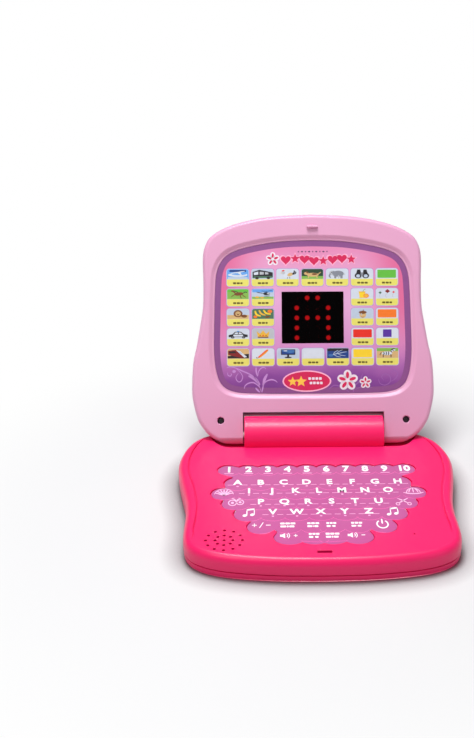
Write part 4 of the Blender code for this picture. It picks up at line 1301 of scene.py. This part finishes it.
def lid_back():
    """The back cover: a shallow tray with a big rounding."""
    outside = [(0.3, BACK_TOP), (0, BACK_TOP - 0.4), (0, BACK_WALL_LOW)]
    for i in range(1, 11):
        angle = math.pi / 2 * i / 10
        inset = BACK_ROUND_WIDE * (1 - math.cos(angle))
        outside.append((inset, BACK_WALL_LOW - BACK_ROUND_DEEP * math.sin(angle)))
    cover = loft("back_cover", mirrored(LID_HALF), outside)
    cut(cover, ear_rounder("round", EAR_R), cutout("cutout", 0, BACK_CUTOUT))
    hollow = loft("hollow", mirrored(LID_HALF, 2), BACK_HOLLOW)
    cut(hollow, ear_rounder("round", EAR_R - 2), cutout("cutout", 2, BACK_CUTOUT))
    cut(cover, hollow)
    for side in (-1, 1):
        pin_notch(cover, side)
        x = side * LID_SCREW_X
        join(cover, rod("boss", 3.4, LID_BACK + 1, BACK_TOP - 0.1, x, LID_SCREW_L))
        cut(cover, rod("pilot", SCREW_HOLE_R, LID_BACK + 2.6, BACK_TOP + 1, x, LID_SCREW_L))
    place(cover, "lid", "lid_pink", LID_PINK, ["lid_back"])


# The print lies a hair above the sheet, and leaves a plain border of this width round it.
PRINT_BORDER = 5.6
PRINT_LAYER = (PANEL_TOP + 0.005, PANEL_TOP + 0.05)


def screen():
    """The sheet in the bezel, its print, and the pane in its window."""
    loop = mirrored(PANEL_HALF)
    sheet = prism("screen_sheet", loop, 0.5, PANEL_TOP)
    print_low, print_high = PRINT_LAYER
    art = prism("screen_print", inset_loop(loop, PRINT_BORDER), print_low, print_high)
    for made in (sheet, art):
        cut(made, box("hole", (-WINDOW_HALF, WINDOW_LOW, -5), (WINDOW_HALF, WINDOW_HIGH, 5)))
    place(sheet, "lid", "panel_print", ink("panel_border", srgb(136, 78, 136), 0.3), ["screen_panel"])
    place(art, "lid", "panel_print", panel_look())
    inner = WINDOW_HALF - 0.2
    pane = box("led_pane", (-inner, WINDOW_LOW + 0.2, 0.6), (inner, WINDOW_HIGH - 0.2, PANEL_TOP))
    place(pane, "lid", "window_black", window_look(), ["led_window"])


LIT = {"r1c2", "r1c3", "r2c1", "r2c4", "r3c1", "r3c2", "r3c3", "r3c4", "r4c1", "r4c4", "r5c1", "r5c4"}


def leds():
    """The lamps, with the letter A lit."""
    bright = lamp_look("led_lit", (1.0, 0.035, 0.05, 1.0), 14.0)
    dark = lamp_look("led_dark", (0.22, 0.02, 0.02, 1.0), 0.0)
    lens = [(0, LED_LOW), (LED_R, LED_LOW), (LED_R, LED_SHOULDER)]
    for i in range(1, 6):
        angle = math.pi / 2 * i / 6
        height = LED_SHOULDER + (LED_TOP - LED_SHOULDER) * math.sin(angle)
        lens.append((LED_R * math.cos(angle), height))
    lens.append((0, LED_TOP))
    middle = (WINDOW_LOW + WINDOW_HIGH) / 2
    for row, up in enumerate(reversed(spread(5, LED_PITCH[1]))):
        for column, x in enumerate(spread(4, LED_PITCH[0])):
            spot = f"r{row + 1}c{column + 1}"
            made = moved(turned(f"lens_{spot}", lens, 24), (x, middle + up, 0))
            slot, look = ("led_lit", bright) if spot in LIT else ("led_dark", dark)
            place(made, "lid", slot, look, [f"led_{spot}"])


CARD_PITCH = (23.6, 18.9)
CARD_HALF = (10.65, 8.35)
CARD_MIDDLE = 111.0


def card_places():
    """The middle of each of the 26 cards, row by row from the top, around the window."""
    places = []
    for row in range(5):
        for column in range(7):
            if row in (0, 4) or column in (0, 1, 5, 6):
                x = (column - 3) * CARD_PITCH[0]
                places.append((x, CARD_MIDDLE + (2 - row) * CARD_PITCH[1]))
    return places


CARD_INKS = {
    "paper": (200, 210, 222), "strip": (222, 216, 104), "word": (96, 84, 30), "halo": (176, 140, 196),
    "sky": (96, 158, 226), "deep": (28, 62, 130), "white": (206, 216, 226), "pale": (180, 196, 214),
    "grass": (126, 178, 76), "green": (96, 182, 62), "forest": (36, 66, 44), "bus": (70, 110, 84),
    "brown": (118, 70, 38), "tan": (206, 172, 116), "black": (34, 32, 38), "grey": (128, 134, 144),
    "light": (178, 184, 190), "orange": (236, 118, 36), "red": (222, 42, 28), "purple": (84, 46, 152),
    "yellow": (240, 206, 44), "gold": (226, 176, 60), "maroon": (128, 30, 32), "skyline": (60, 110, 170),
}
# The picture on each card, row by row: (ink, kind of shape, its numbers), from the back to the front.
PICTURES = {
    "aeroplane": [
        ("sky", "fill"), ("deep", "rect", -8, 4.6, 8, 7.2, 1.2), ("white", "oval", 0, 1.2, 9.2, 2.4, 0),
        ("sky", "oval", 1, 2.2, 7.0, 1.2, 0), ("white", "line", 1.2, -6, 3.2, 0, 4.2, 6.5, 5.6),
        ("white", "shape", -1, 4.4, 2.6, 0.9, 3.8, 1.3, 1.8, 5.2),
        ("pale", "rect", -9.4, -3.8, 9.4, -1.4, 0.3),
    ],
    "bus": [
        ("pale", "fill"), ("black", "shape", -9.6, 4.6, -3, 7.2, 9.6, 4.0, 9.6, -1.8, -9.6, -2.6),
        ("bus", "shape", -8.6, -0.4, 9.0, -0.2, 9.0, -2.4, -8.6, -2.8),
        ("white", "shape", -8.4, 3.6, -4.2, 5.2, -4.2, 1.4, -8.4, 1.0),
        ("light", "shape", -2.8, 5.0, 1.0, 4.6, 1.0, 1.6, -2.8, 1.4),
        ("light", "shape", 2.2, 4.4, 5.4, 3.8, 5.4, 1.8, 2.2, 1.6),
        ("black", "oval", -5.4, -2.7, 1.7, 1.5, 0), ("black", "oval", 5.4, -2.5, 1.7, 1.5, 0),
    ],
    "cock": [
        ("paper", "fill"), ("white", "oval", 0.6, 0.6, 4.6, 2.9, 18),
        ("tan", "oval", 2.4, 1.4, 2.8, 2.0, 30), ("black", "line", 1.4, 4.4, 2.0, 6.4, 4.0, 6.2, 6.4),
        ("black", "line", 1.2, 4.8, 1.4, 7.6, 2.8, 7.8, 5.0), ("light", "oval", -4.0, 3.6, 1.7, 2.0, 0),
        ("red", "oval", -4.2, 6.0, 1.5, 0.8, 20), ("gold", "shape", -5.4, 3.8, -7.2, 3.2, -5.4, 2.9),
        ("black", "line", 0.5, 0.2, -1.6, -0.2, -3.4), ("black", "line", 0.5, 2.0, -1.6, 2.2, -3.4),
    ],
    "dog": [
        ("forest", "fill"), ("grass", "rect", -10.2, -3.8, 10.2, -0.6, 0.2),
        ("tan", "oval", 0.4, 1.0, 5.6, 2.3, 0), ("tan", "oval", -5.6, 2.6, 2.2, 1.8, 0),
        ("brown", "oval", -5.0, 3.9, 0.8, 1.5, 40), ("brown", "oval", 2.0, 1.8, 2.6, 1.1, 0),
        ("tan", "line", 1.1, -3.4, 0, -3.8, -3.0), ("tan", "line", 1.1, 4.0, 0, 4.6, -3.0),
        ("tan", "line", 0.9, 5.6, 1.8, 8.0, 4.2),
    ],
    "elephant": [
        ("paper", "fill"), ("grey", "oval", 0.8, 2.2, 5.6, 3.6, 0),
        ("light", "oval", -4.6, 3.2, 2.9, 2.7, 0), ("grey", "oval", -3.2, 3.2, 1.7, 2.3, 0),
        ("grey", "line", 1.5, -6.4, 2.6, -7.4, -0.4, -6.2, -2.8),
        ("grey", "rect", -2.8, -3.4, -0.8, 1.2, 0.5), ("grey", "rect", 3.0, -3.4, 5.2, 1.6, 0.5),
        ("light", "rect", 0.6, -3.2, 2.0, 0.2, 0.4), ("light", "line", 0.7, 6.2, 3.0, 7.4, 0.6),
        ("black", "oval", -5.4, 3.8, 0.5, 0.5, 0),
    ],
    "binoculars": [
        ("paper", "fill"), ("black", "oval", -3.6, -0.2, 3.3, 3.3, 0),
        ("black", "oval", 3.6, -0.2, 3.3, 3.3, 0),
        ("black", "shape", -5.6, 1.8, -4.4, 7.0, -1.6, 7.0, -0.8, 2.4),
        ("black", "shape", 5.6, 1.8, 4.4, 7.0, 1.6, 7.0, 0.8, 2.4),
        ("grey", "rect", -1.2, 0.4, 1.2, 3.6, 0.4), ("pale", "oval", -3.6, -0.6, 1.9, 1.9, 0),
        ("pale", "oval", 3.6, -0.6, 1.9, 1.9, 0),
    ],
    "green": [("green", "swatch")],
    "horse": [
        ("grass", "fill"), ("green", "rect", -10, 4.4, 10, 7.6, 0.6),
        ("brown", "oval", 0.8, 2.2, 4.4, 2.0, 8), ("brown", "line", 1.8, -2.4, 3.0, -4.6, 5.4, -6.6, 5.6),
        ("brown", "line", 0.9, -2.0, 1.6, -4.6, 0.4, -6.2, -1.6),
        ("brown", "line", 0.9, 3.8, 1.6, 5.6, -0.4, 7.6, -1.8),
        ("brown", "line", 0.9, 2.6, 1.2, 2.4, -1.4, 4.0, -3.2),
        ("black", "line", 1.0, 4.8, 3.0, 7.0, 4.4, 8.6, 3.6),
        ("black", "line", 0.8, -3.4, 5.6, -1.4, 4.8, 0.2, 4.0),
    ],
    "helicopter": [
        ("pale", "fill"), ("sky", "rect", -10, 4.0, 10, 7.8, 0.8),
        ("grass", "rect", -10.2, -3.8, 10.2, -1.2, 0.2), ("black", "oval", 3.6, 2.4, 3.2, 1.9, 0),
        ("light", "oval", 5.2, 2.7, 1.3, 1.1, 0), ("black", "line", 0.8, 0.8, 2.6, -3.6, 3.6, -6.0, 4.4),
        ("black", "line", 0.5, -1.4, 5.6, 3.6, 5.2, 8.8, 6.4),
        ("black", "line", 0.6, 1.2, -0.4, 4.0, -0.6, 6.6, -0.2), ("gold", "oval", -5.4, -1.8, 1.9, 1.1, 0),
        ("gold", "oval", -0.6, -2.4, 1.6, 0.9, 0),
    ],
    "juice": [
        ("paper", "fill"), ("gold", "shape", -3.2, 4.6, 3.2, 4.6, 2.4, -3.2, -2.4, -3.2),
        ("yellow", "shape", -2.9, 3.2, 2.9, 3.2, 2.2, -2.9, -2.2, -2.9),
        ("orange", "oval", 3.8, -0.6, 2.6, 2.6, 0), ("gold", "oval", 3.8, -0.6, 1.9, 1.9, 0),
        ("grass", "line", 0.7, 0.6, 3.6, 1.6, 6.4, 3.4, 7.2),
    ],
    "kites": [
        ("paper", "fill"), ("maroon", "shape", 0.6, 7.2, 3.2, 4.8, 0.6, 2.4, -2.0, 4.8),
        ("bus", "shape", -6.4, 4.6, -4.8, 3.0, -6.4, 1.4, -8.0, 3.0),
        ("red", "shape", 6.4, 5.0, 7.8, 3.6, 6.4, 2.2, 5.0, 3.6),
        ("light", "line", 0.4, 0.6, 2.4, -1.4, -0.4, -0.4, -3.0),
        ("light", "line", 0.4, 6.4, 2.2, 5.4, 0, 6.0, -2.8),
        ("light", "line", 0.4, -6.4, 1.4, -7.2, -0.8, -6.2, -2.8),
    ],
    "lion": [
        ("pale", "fill"), ("tan", "rect", -10.2, -3.8, 10.2, 0.8, 0.2),
        ("brown", "oval", 0, 2.4, 4.3, 4.3, 0), ("tan", "oval", 0, 2.2, 2.6, 2.8, 0),
        ("brown", "oval", 0, 1.2, 1.1, 0.8, 0), ("black", "oval", -1.0, 3.0, 0.4, 0.4, 0),
        ("black", "oval", 1.0, 3.0, 0.4, 0.4, 0), ("brown", "oval", 5.8, -0.6, 2.8, 1.8, 0),
    ],
    "bananas": [
        ("bus", "fill"), ("yellow", "line", 1.9, -7.4, 5.6, -6.2, 1.4, -2.2, -0.8),
        ("gold", "line", 1.9, -3.6, 6.4, -1.6, 2.2, 2.4, 0.4),
        ("yellow", "line", 1.9, 0.6, 6.6, 3.0, 2.8, 7.4, 1.6), ("orange", "oval", 6.6, 5.0, 2.2, 2.0, 0),
        ("orange", "oval", -7.2, -1.4, 1.8, 1.6, 0), ("brown", "oval", 4.4, -1.6, 2.4, 1.1, 10),
    ],
    "acorn": [
        ("pale", "fill"), ("tan", "oval", 0.4, 0.2, 3.2, 3.6, 0), ("brown", "oval", 0.4, 3.2, 3.8, 1.9, 0),
        ("brown", "line", 0.8, 0.4, 4.6, 1.2, 6.4),
        ("maroon", "line", 0.5, -1.0, -1.8, 0.4, -2.6, 1.8, -1.8),
        ("light", "oval", -0.8, 0.8, 0.6, 1.4, 10),
    ],
    "orange": [("orange", "swatch")],
    "car": [
        ("paper", "fill"),
        ("black", "shape",
         -9, 0.6, -5.2, 1.8, -3.0, 4.6, 2.6, 4.6, 5.4, 1.8, 9.0, 1.0, 9.0, -1.8, -9.0, -1.8),
        ("white", "shape", -2.4, 3.7, -0.2, 3.7, -0.2, 1.8, -3.9, 1.8),
        ("white", "shape", 0.5, 3.7, 2.3, 3.7, 4.1, 1.8, 0.5, 1.8),
        ("white", "rect", -4.6, -1.2, 4.6, 1.0, 0.2), ("black", "oval", -5.2, -1.9, 1.7, 1.5, 0),
        ("black", "oval", 5.2, -1.9, 1.7, 1.5, 0), ("sky", "rect", -1.2, 4.6, 1.2, 5.6, 0.3),
        ("grey", "oval", -5.2, -1.9, 0.8, 0.7, 0), ("grey", "oval", 5.2, -1.9, 0.8, 0.7, 0),
    ],
    "crown": [
        ("light", "fill"),
        ("gold", "shape", -5.0, -2.0, 5.0, -2.0, 6.0, 5.0, 2.8, 1.8, 0, 6.2, -2.8, 1.8, -6.0, 5.0),
        ("brown", "rect", -5.0, -2.8, 5.0, -1.4, 0.3), ("red", "oval", 0, -0.1, 0.8, 0.8, 0),
        ("maroon", "oval", -2.8, -0.1, 0.6, 0.6, 0), ("maroon", "oval", 2.8, -0.1, 0.6, 0.6, 0),
    ],
    "red": [("red", "swatch")],
    "square": [("white", "fill"), ("purple", "rect", -4.1, -2.6, 4.1, 6.4, 0.1)],
    "train": [
        ("tan", "fill"), ("black", "shape", -10, -3.4, -10, -0.6, 10, 2.0, 10, -3.4),
        ("maroon", "shape", -9.6, 5.6, -2.4, 6.6, 6.6, -1.6, 3.4, -3.0, -9.6, 0.8),
        ("white", "shape", -2.2, 6.4, 1.6, 5.4, 8.2, -1.8, 5.6, -2.6),
        ("black", "shape", -8.8, 4.6, -3.6, 5.2, -1.6, 2.8, -8.8, 2.6),
        ("pale", "shape", 0.0, 4.6, 2.0, 4.0, 4.2, 1.6, 2.0, 1.8),
    ],
    "umbrella": [
        ("white", "fill"), ("orange", "line", 2.6, -4.4, -2.6, 0.4, 2.0, 4.4, 6.6),
        ("red", "line", 0.7, -4.8, -1.8, -0.6, 2.4, 3.4, 6.8),
        ("brown", "line", 0.8, -4.4, -2.6, -6.0, -3.2, -6.6, -2.0),
        ("gold", "line", 0.6, -3.0, -2.2, 1.4, 2.0, 4.8, 5.6),
    ],
    "screen": [
        ("pale", "fill"), ("black", "rect", -6.8, 0.4, 6.8, 7.0, 0.5),
        ("skyline", "rect", -6.0, 1.2, 6.0, 6.3, 0.2),
        ("deep", "shape", -6.0, 1.2, 6.0, 1.2, 6.0, 3.4, 1.4, 2.4, -6.0, 4.8),
        ("black", "rect", -1.0, -2.2, 1.0, 0.6, 0.1), ("black", "oval", 0, -2.6, 3.4, 0.9, 0),
        ("white", "oval", -2.6, 5.2, 1.8, 0.6, 0),
    ],
    "white": [("white", "swatch")],
    "bands": [
        ("deep", "fill"), ("black", "rect", -10.2, 4.6, 10.2, 7.8, 1.0),
        ("pale", "line", 0.9, -8.6, -0.6, -2.0, 1.2, 8.2, 3.8),
        ("pale", "line", 0.6, -4.6, 0.4, -2.6, 3.6, 0.4, 5.6),
        ("pale", "line", 0.6, -1.4, 1.4, 1.0, 4.2, 4.4, 6.0),
        ("pale", "line", 0.6, -4.0, 0.6, -1.0, -1.6, 2.8, -2.6),
        ("pale", "line", 0.6, -0.4, 1.8, 3.0, -0.4, 7.4, -1.0),
        ("skyline", "oval", -6.6, -0.4, 2.4, 1.6, 0),
    ],
    "yellow": [("yellow", "swatch")],
    "zebra": [
        ("tan", "fill"), ("grass", "rect", -10.2, 4.2, 10.2, 7.8, 0.8),
        ("white", "oval", -0.4, 1.6, 5.0, 2.2, 0), ("white", "line", 2.0, 3.2, 2.8, 5.4, 5.2, 7.6, 5.6),
        ("black", "line", 0.9, -3.6, 3.4, -3.2, 1.4, -3.8, -0.4),
        ("black", "line", 0.9, -1.4, 3.8, -1.0, 1.6, -1.6, -0.6),
        ("black", "line", 0.9, 0.8, 3.8, 1.2, 1.6, 0.6, -0.6), ("black", "line", 0.9, 3.0, 4.4, 4.4, 2.6),
        ("black", "line", 0.8, 4.6, 5.8, 6.0, 4.4),
        ("black", "line", 0.9, -3.8, 0.4, -4.2, -1.6, -3.8, -3.2),
        ("black", "line", 0.9, 3.0, 0.6, 3.4, -1.4, 3.2, -3.2),
        ("black", "line", 1.0, 3.4, 5.2, 5.2, 6.8, 7.0, 6.9),
        ("black", "line", 0.7, -5.2, 2.6, -6.8, 1.2, -7.0, -0.8),
    ],
}


# Pictures are drawn a little too tall, and squashed to sit above the label strip.
PICTURE_SQUASH = 0.8
STRIP_TOP = -1.6
WORD_LOW = -6.2
WORD_HIGH = -4.4
# The lowest print on the panel, and how the layers of a card climb from it.
ART_LOW = PANEL_TOP + 0.052
CARD_LAYER = 0.03
CARD_LAYER_STEP = 0.005


def pairs(numbers):
    return list(zip(numbers[::2], numbers[1::2]))


def outline(kind, numbers):
    """The outline of one shape of a picture, around the middle of its card."""
    wide, tall = CARD_HALF
    if kind == "fill":
        return rounded(0.4 - wide, -3.9, wide - 0.4, tall - 0.4, 2.3, (0, 0, 1, 1))
    if kind == "swatch":
        return rounded(-8.9, -3.0, 8.9, 6.7, 0.9)
    if kind == "rect":
        return rounded(*numbers)
    if kind == "oval":
        return oval(*numbers, count=20)
    if kind == "line":
        return ribbon(pairs(numbers[1:]), numbers[0], 4, 0.6)
    return pairs(numbers)


def card_layers(number, picture):
    """The (ink, outline) pairs of one card, from the back to the front."""
    wide, tall = CARD_HALF
    yield "halo", rounded(-wide - 0.5, -tall - 0.5, wide + 0.5, tall + 0.5, 3.0)
    yield "paper", rounded(-wide, -tall, wide, tall, 2.6)
    for name, kind, *numbers in picture:
        yield name, [(p[0], tall - (tall - p[1]) * PICTURE_SQUASH) for p in outline(kind, numbers)]
    yield "strip", rounded(0.3 - wide, 0.3 - tall, wide - 0.3, STRIP_TOP, 2.3, (1, 1, 0, 0))
    for left, right in ((-4.6, -1.6), (-1.1, 1.9), (2.4, 4.4 + number % 3 * 0.5)):
        yield "word", rounded(left, WORD_LOW, right, WORD_HIGH, 0.6)


def cards():
    """The 26 picture cards, each with dashes in the place of its word."""
    for number, ((x, y), picture) in enumerate(zip(card_places(), PICTURES.values())):
        card = Print(f"card_{number + 1}")
        for layer, (name, loop) in enumerate(card_layers(number, picture)):
            high = ART_LOW + CARD_LAYER + CARD_LAYER_STEP * layer
            card.add([(x + p[0], y + p[1]) for p in loop], ART_LOW, high, print_ink(*CARD_INKS[name]))
        card.finish("lid", "panel_print")


# The prints of the panel are this much higher for each layer that they lie above the lowest.
ART_LAYER = 0.01


def stamp(art, loop, layer, ink_used):
    art.add(loop, ART_LOW, ART_LOW + layer * ART_LAYER, ink_used)


# Strokes of the leaf scroll at the lower left of the panel: (width, points).
SCROLL = [
    (1.2, [(-49.4, 40.5), (-51.6, 47.0), (-54.5, 52.8), (-60.4, 57.2), (-66.9, 60.1), (-73.5, 63.1),
        (-77.8, 64.1), (-82.0, 63.4)]),
    (0.9, [(-73.5, 62.9), (-69.1, 59.0), (-66.8, 54.7), (-68.2, 50.8), (-70.6, 49.9), (-72.7, 52.0),
        (-73.0, 54.9), (-70.8, 58.1)]),
    (0.9, [(-80.8, 59.0), (-80.8, 56.5), (-78.6, 55.4), (-77.3, 56.9), (-78.2, 58.1)]),
    (1.3, [(-48.7, 39.7), (-48.0, 43.4), (-47.1, 47.0)]),
    (2.6, [(-47.6, 45.9), (-46.1, 52.1), (-43.4, 57.2)]),
    (1.3, [(-47.2, 47.0), (-44.3, 50.3), (-39.9, 51.8), (-36.3, 51.0), (-34.0, 49.1)]),
    (1.2, [(-49.4, 41.9), (-52.3, 46.3), (-56.7, 49.1), (-61.1, 48.6), (-64.4, 46.3), (-65.4, 43.4)]),
    (3.0, [(-50.5, 47.0), (-55.2, 52.5), (-61.4, 55.6)]),
    (1.5, [(-52.7, 55.0), (-53.9, 59.4), (-54.1, 63.6)]),
    (1.0, [(-52.3, 55.4), (-51.6, 59.8), (-48.7, 63.1), (-45.9, 63.2), (-44.9, 61.7)]),
    (1.6, [(-50.5, 39.8), (-53.1, 42.3), (-54.7, 44.2)]),
]
# Fainter strokes at the lower right.
FAINT_SCROLL = [
    (0.9, [(62.0, 52.0), (63.5, 47.5), (68.5, 46.0), (73.0, 49.0), (73.0, 54.0), (68.5, 56.5),
        (65.0, 54.0), (67.0, 50.5)]),
    (0.9, [(73.0, 49.0), (78.0, 52.0), (80.5, 57.0), (77.0, 60.0), (74.0, 57.5)]),
    (1.0, [(38.0, 39.5), (39.0, 45.0), (44.0, 50.0), (47.0, 57.0)]),
    (1.0, [(34.0, 39.5), (28.0, 44.0), (20.0, 46.0), (15.0, 42.5)]),
    (0.8, [(40.0, 42.0), (48.0, 45.0), (56.0, 43.5)]),
]


PETALS = 5


def flower(art, x, y, size, petal, heart):
    """Round petals with a darker streak in each."""
    for i in range(PETALS):
        angle = 90 + i * 360 / PETALS
        across, up = size * math.cos(math.radians(angle)), size * math.sin(math.radians(angle))
        stamp(art, oval(x + across * 0.3, y + up * 0.3, size * 0.23, size * 0.2, angle), 5, petal)
        stamp(art, oval(x + across * 0.27, y + up * 0.27, size * 0.17, size * 0.08, angle), 6, heart)
    stamp(art, oval(x, y, size * 0.09, size * 0.09), 7, petal)


def heart_loop(x, y, size):
    points = []
    for i in range(28):
        t = 2 * math.pi * i / 28
        wide = 16 * math.sin(t) ** 3
        tall = 13 * math.cos(t) - 5 * math.cos(2 * t) - 2 * math.cos(3 * t) - math.cos(4 * t)
        points.append((x + wide * size / 32, y + tall * size / 32))
    return points


def star_loop(x, y, size, points=5):
    loop = []
    for i in range(points * 2):
        reach = size / 2 * (1.0 if i % 2 == 0 else 0.45)
        angle = math.pi / 2 + math.pi * i / points
        loop.append((x + reach * math.cos(angle), y + reach * math.sin(angle)))
    return loop


PETAL_INK = print_ink(232, 222, 232)
CRIMSON_INK = print_ink(206, 30, 84)
BLUSH_INK = print_ink(246, 176, 206)
GOLD_INK = print_ink(246, 196, 74)
LILAC_INK = print_ink(190, 138, 204)
FAINT_LILAC_INK = print_ink(150, 92, 166)
DOT_INK = print_ink(84, 60, 92)


def scrolls(art):
    for width, path in SCROLL:
        stamp(art, ribbon(path, width, 6, 0.35), 3, LILAC_INK)
    stamp(art, oval(-74.9, 59.8, 1.7, 1.4), 3, LILAC_INK)
    for width, path in FAINT_SCROLL:
        stamp(art, ribbon(path, width, 6, 0.35), 2, FAINT_LILAC_INK)


# The garland stands in the place of the title: eight signs on a slight wave, and nine dots above them.
SIGN_PITCH = 8.9
SIGN_HEIGHT = 165.6
DOT_PITCH = 3.4
DOT_HEIGHT = 173.4


def garland(art):
    """Hearts and stars, with a row of dots above them."""
    for i, x in enumerate(spread(8, SIGN_PITCH)):
        loop = (heart_loop, star_loop, heart_loop)[i % 3]
        height = SIGN_HEIGHT + 1.2 * math.sin(i * 1.3)
        stamp(art, loop(x + 6.0, height, 12.0), 3, BLUSH_INK)
        stamp(art, loop(x + 6.0, height, 9.4), 4, CRIMSON_INK)
    for i, x in enumerate(spread(9, DOT_PITCH)):
        stamp(art, oval(x + 0.5, DOT_HEIGHT, 1.0 if i % 2 else 0.6, 0.7, 0, 12), 3, DOT_INK)


BADGE_AT = (-6, 50.2)
# The badge's stars: (x, size).
BADGE_STARS = [(-19.5, 9.5), (-11.5, 11.0)]
# The badge's rows of dashes: (height, left end, right end).
BADGE_ROWS = [(52.6, -4.6, 8.8), (48.4, -3.4, 9.6)]
BADGE_DASHES = 4


def badge(art):
    """An oval with two stars and two rows of dashes."""
    stamp(art, oval(*BADGE_AT, 23.2, 10.2, 0, 64), 2, BLUSH_INK)
    stamp(art, oval(*BADGE_AT, 21.8, 8.9, 0, 64), 3, CRIMSON_INK)
    for x, size in BADGE_STARS:
        stamp(art, star_loop(x, 49.8, size), 5, GOLD_INK)
    for y, left, right in BADGE_ROWS:
        pitch = (right - left) / BADGE_DASHES
        for k in range(BADGE_DASHES):
            start = left + pitch * k
            stamp(art, rounded(start, y - 1.2, start + pitch - 0.7, y + 1.2, 0.6), 5, PETAL_INK)


def artwork():
    """The printed decoration of the panel."""
    art = Print("panel_art")
    scrolls(art)
    garland(art)
    flower(art, -37.5, 166.4, 12.5, PETAL_INK, CRIMSON_INK)
    badge(art)
    flower(art, 32.6, 50.6, 19.0, PETAL_INK, CRIMSON_INK)
    flower(art, 49.6, 48.6, 11.0, PETAL_INK, CRIMSON_INK)
    art.finish("lid", "panel_print")


# ---------------------------------------------------------------- stage

# The floor lies a hair under the toy, so that the two never share a surface.
FLOOR = -0.0001
FLOOR_HALF = 4
WORLD_LIGHT = 0.24
# Lamps: name, place, what it points at, size and power.
LAMPS = [
    ("key", (-0.6, -0.8, 1.3), (0, 0, 0.05), 0.8, 6.0),
    ("fill", (1.1, -0.9, 0.7), (0, 0, 0.08), 0.9, 1.2),
    ("top", (-0.12, 0.12, 1.5), (0, 0, 0.02), 0.7, 23.0),
    ("below", (0.2, -0.3, -1.3), (0, 0, 0), 0.8, 12.0),
]


def floor():
    mesh = bpy.data.meshes.new("floor")
    corners = [(x * FLOOR_HALF, y * FLOOR_HALF, FLOOR) for x, y in ((-1, -1), (1, -1), (1, 1), (-1, 1))]
    mesh.from_pydata(corners, [], [(0, 1, 2, 3)])
    mesh.materials.append(floor_look())
    made = bpy.data.objects.new("floor", mesh)
    bpy.context.scene.collection.objects.link(made)


def surroundings():
    """White to the camera, and a soft light to everything else."""
    world = bpy.data.worlds.new("studio")
    world.use_nodes = True
    bpy.context.scene.world = world
    nodes = world.node_tree.nodes
    background = nodes["Background"]
    background.inputs["Color"].default_value = (1.0, 1.0, 1.0, 1.0)
    camera_ray = nodes.new("ShaderNodeLightPath").outputs["Is Camera Ray"]
    strength = nodes.new("ShaderNodeMapRange")
    strength.inputs["To Min"].default_value = WORLD_LIGHT
    world.node_tree.links.new(camera_ray, strength.inputs["Value"])
    world.node_tree.links.new(strength.outputs["Result"], background.inputs["Strength"])


def studio():
    floor()
    surroundings()
    for values in LAMPS:
        lamp(*values)
    bpy.context.scene.view_settings.view_transform = "Standard"


def lamp(name, place_at, target, size, power):
    data = bpy.data.lights.new(name, "AREA")
    data.shape = "DISK"
    data.size = size
    data.energy = power
    made = bpy.data.objects.new(name, data)
    bpy.context.scene.collection.objects.link(made)
    made.location = place_at
    made.rotation_euler = (Vector(target) - Vector(place_at)).to_track_quat("-Z", "Y").to_euler()


# The viewpoint: azimuth, elevation and roll in degrees, and the place in millimetres from the hinge.
CAMERA_ANGLES = (-1.59, 24.57, 0.26)
CAMERA_AT = Vector((-50.2, -954.8, 481.0))
LENS = 55.04
SENSOR = 36
SHIFT = (-0.0702, 0.0308)


def camera():
    azimuth, elevation, roll = (math.radians(angle) for angle in CAMERA_ANGLES)
    flat = math.cos(elevation)
    back = Vector((math.sin(azimuth) * flat, -math.cos(azimuth) * flat, math.sin(elevation)))
    level = Vector((math.cos(azimuth), math.sin(azimuth), 0))
    upright = back.cross(level)
    right = level * math.cos(roll) + upright * math.sin(roll)
    up = upright * math.cos(roll) - level * math.sin(roll)
    data = bpy.data.cameras.new("camera")
    data.sensor_width = SENSOR
    data.lens = LENS
    data.shift_x, data.shift_y = SHIFT
    made = bpy.data.objects.new("camera", data)
    bpy.context.scene.collection.objects.link(made)
    turn = Matrix((right, up, back)).transposed().to_4x4()
    made.matrix_world = Matrix.Translation((HINGE + CAMERA_AT) * MM) @ turn
    bpy.context.scene.camera = made


# ---------------------------------------------------------------- the whole toy

def dress_nodes():
    """Gives each CAD node that stays the look that its name starts with."""
    for name, node in frame["nodes"].items():
        for prefix, look in NODE_LOOKS.items():
            if name.startswith(prefix):
                node.data.materials.clear()
                node.data.materials.append(look)
                break


base_top()
base_bottom()
screws()
battery_door()
keypad()
lid_front()
lid_back()
screen()
leds()
cards()
artwork()
dress_nodes()
studio()
camera()
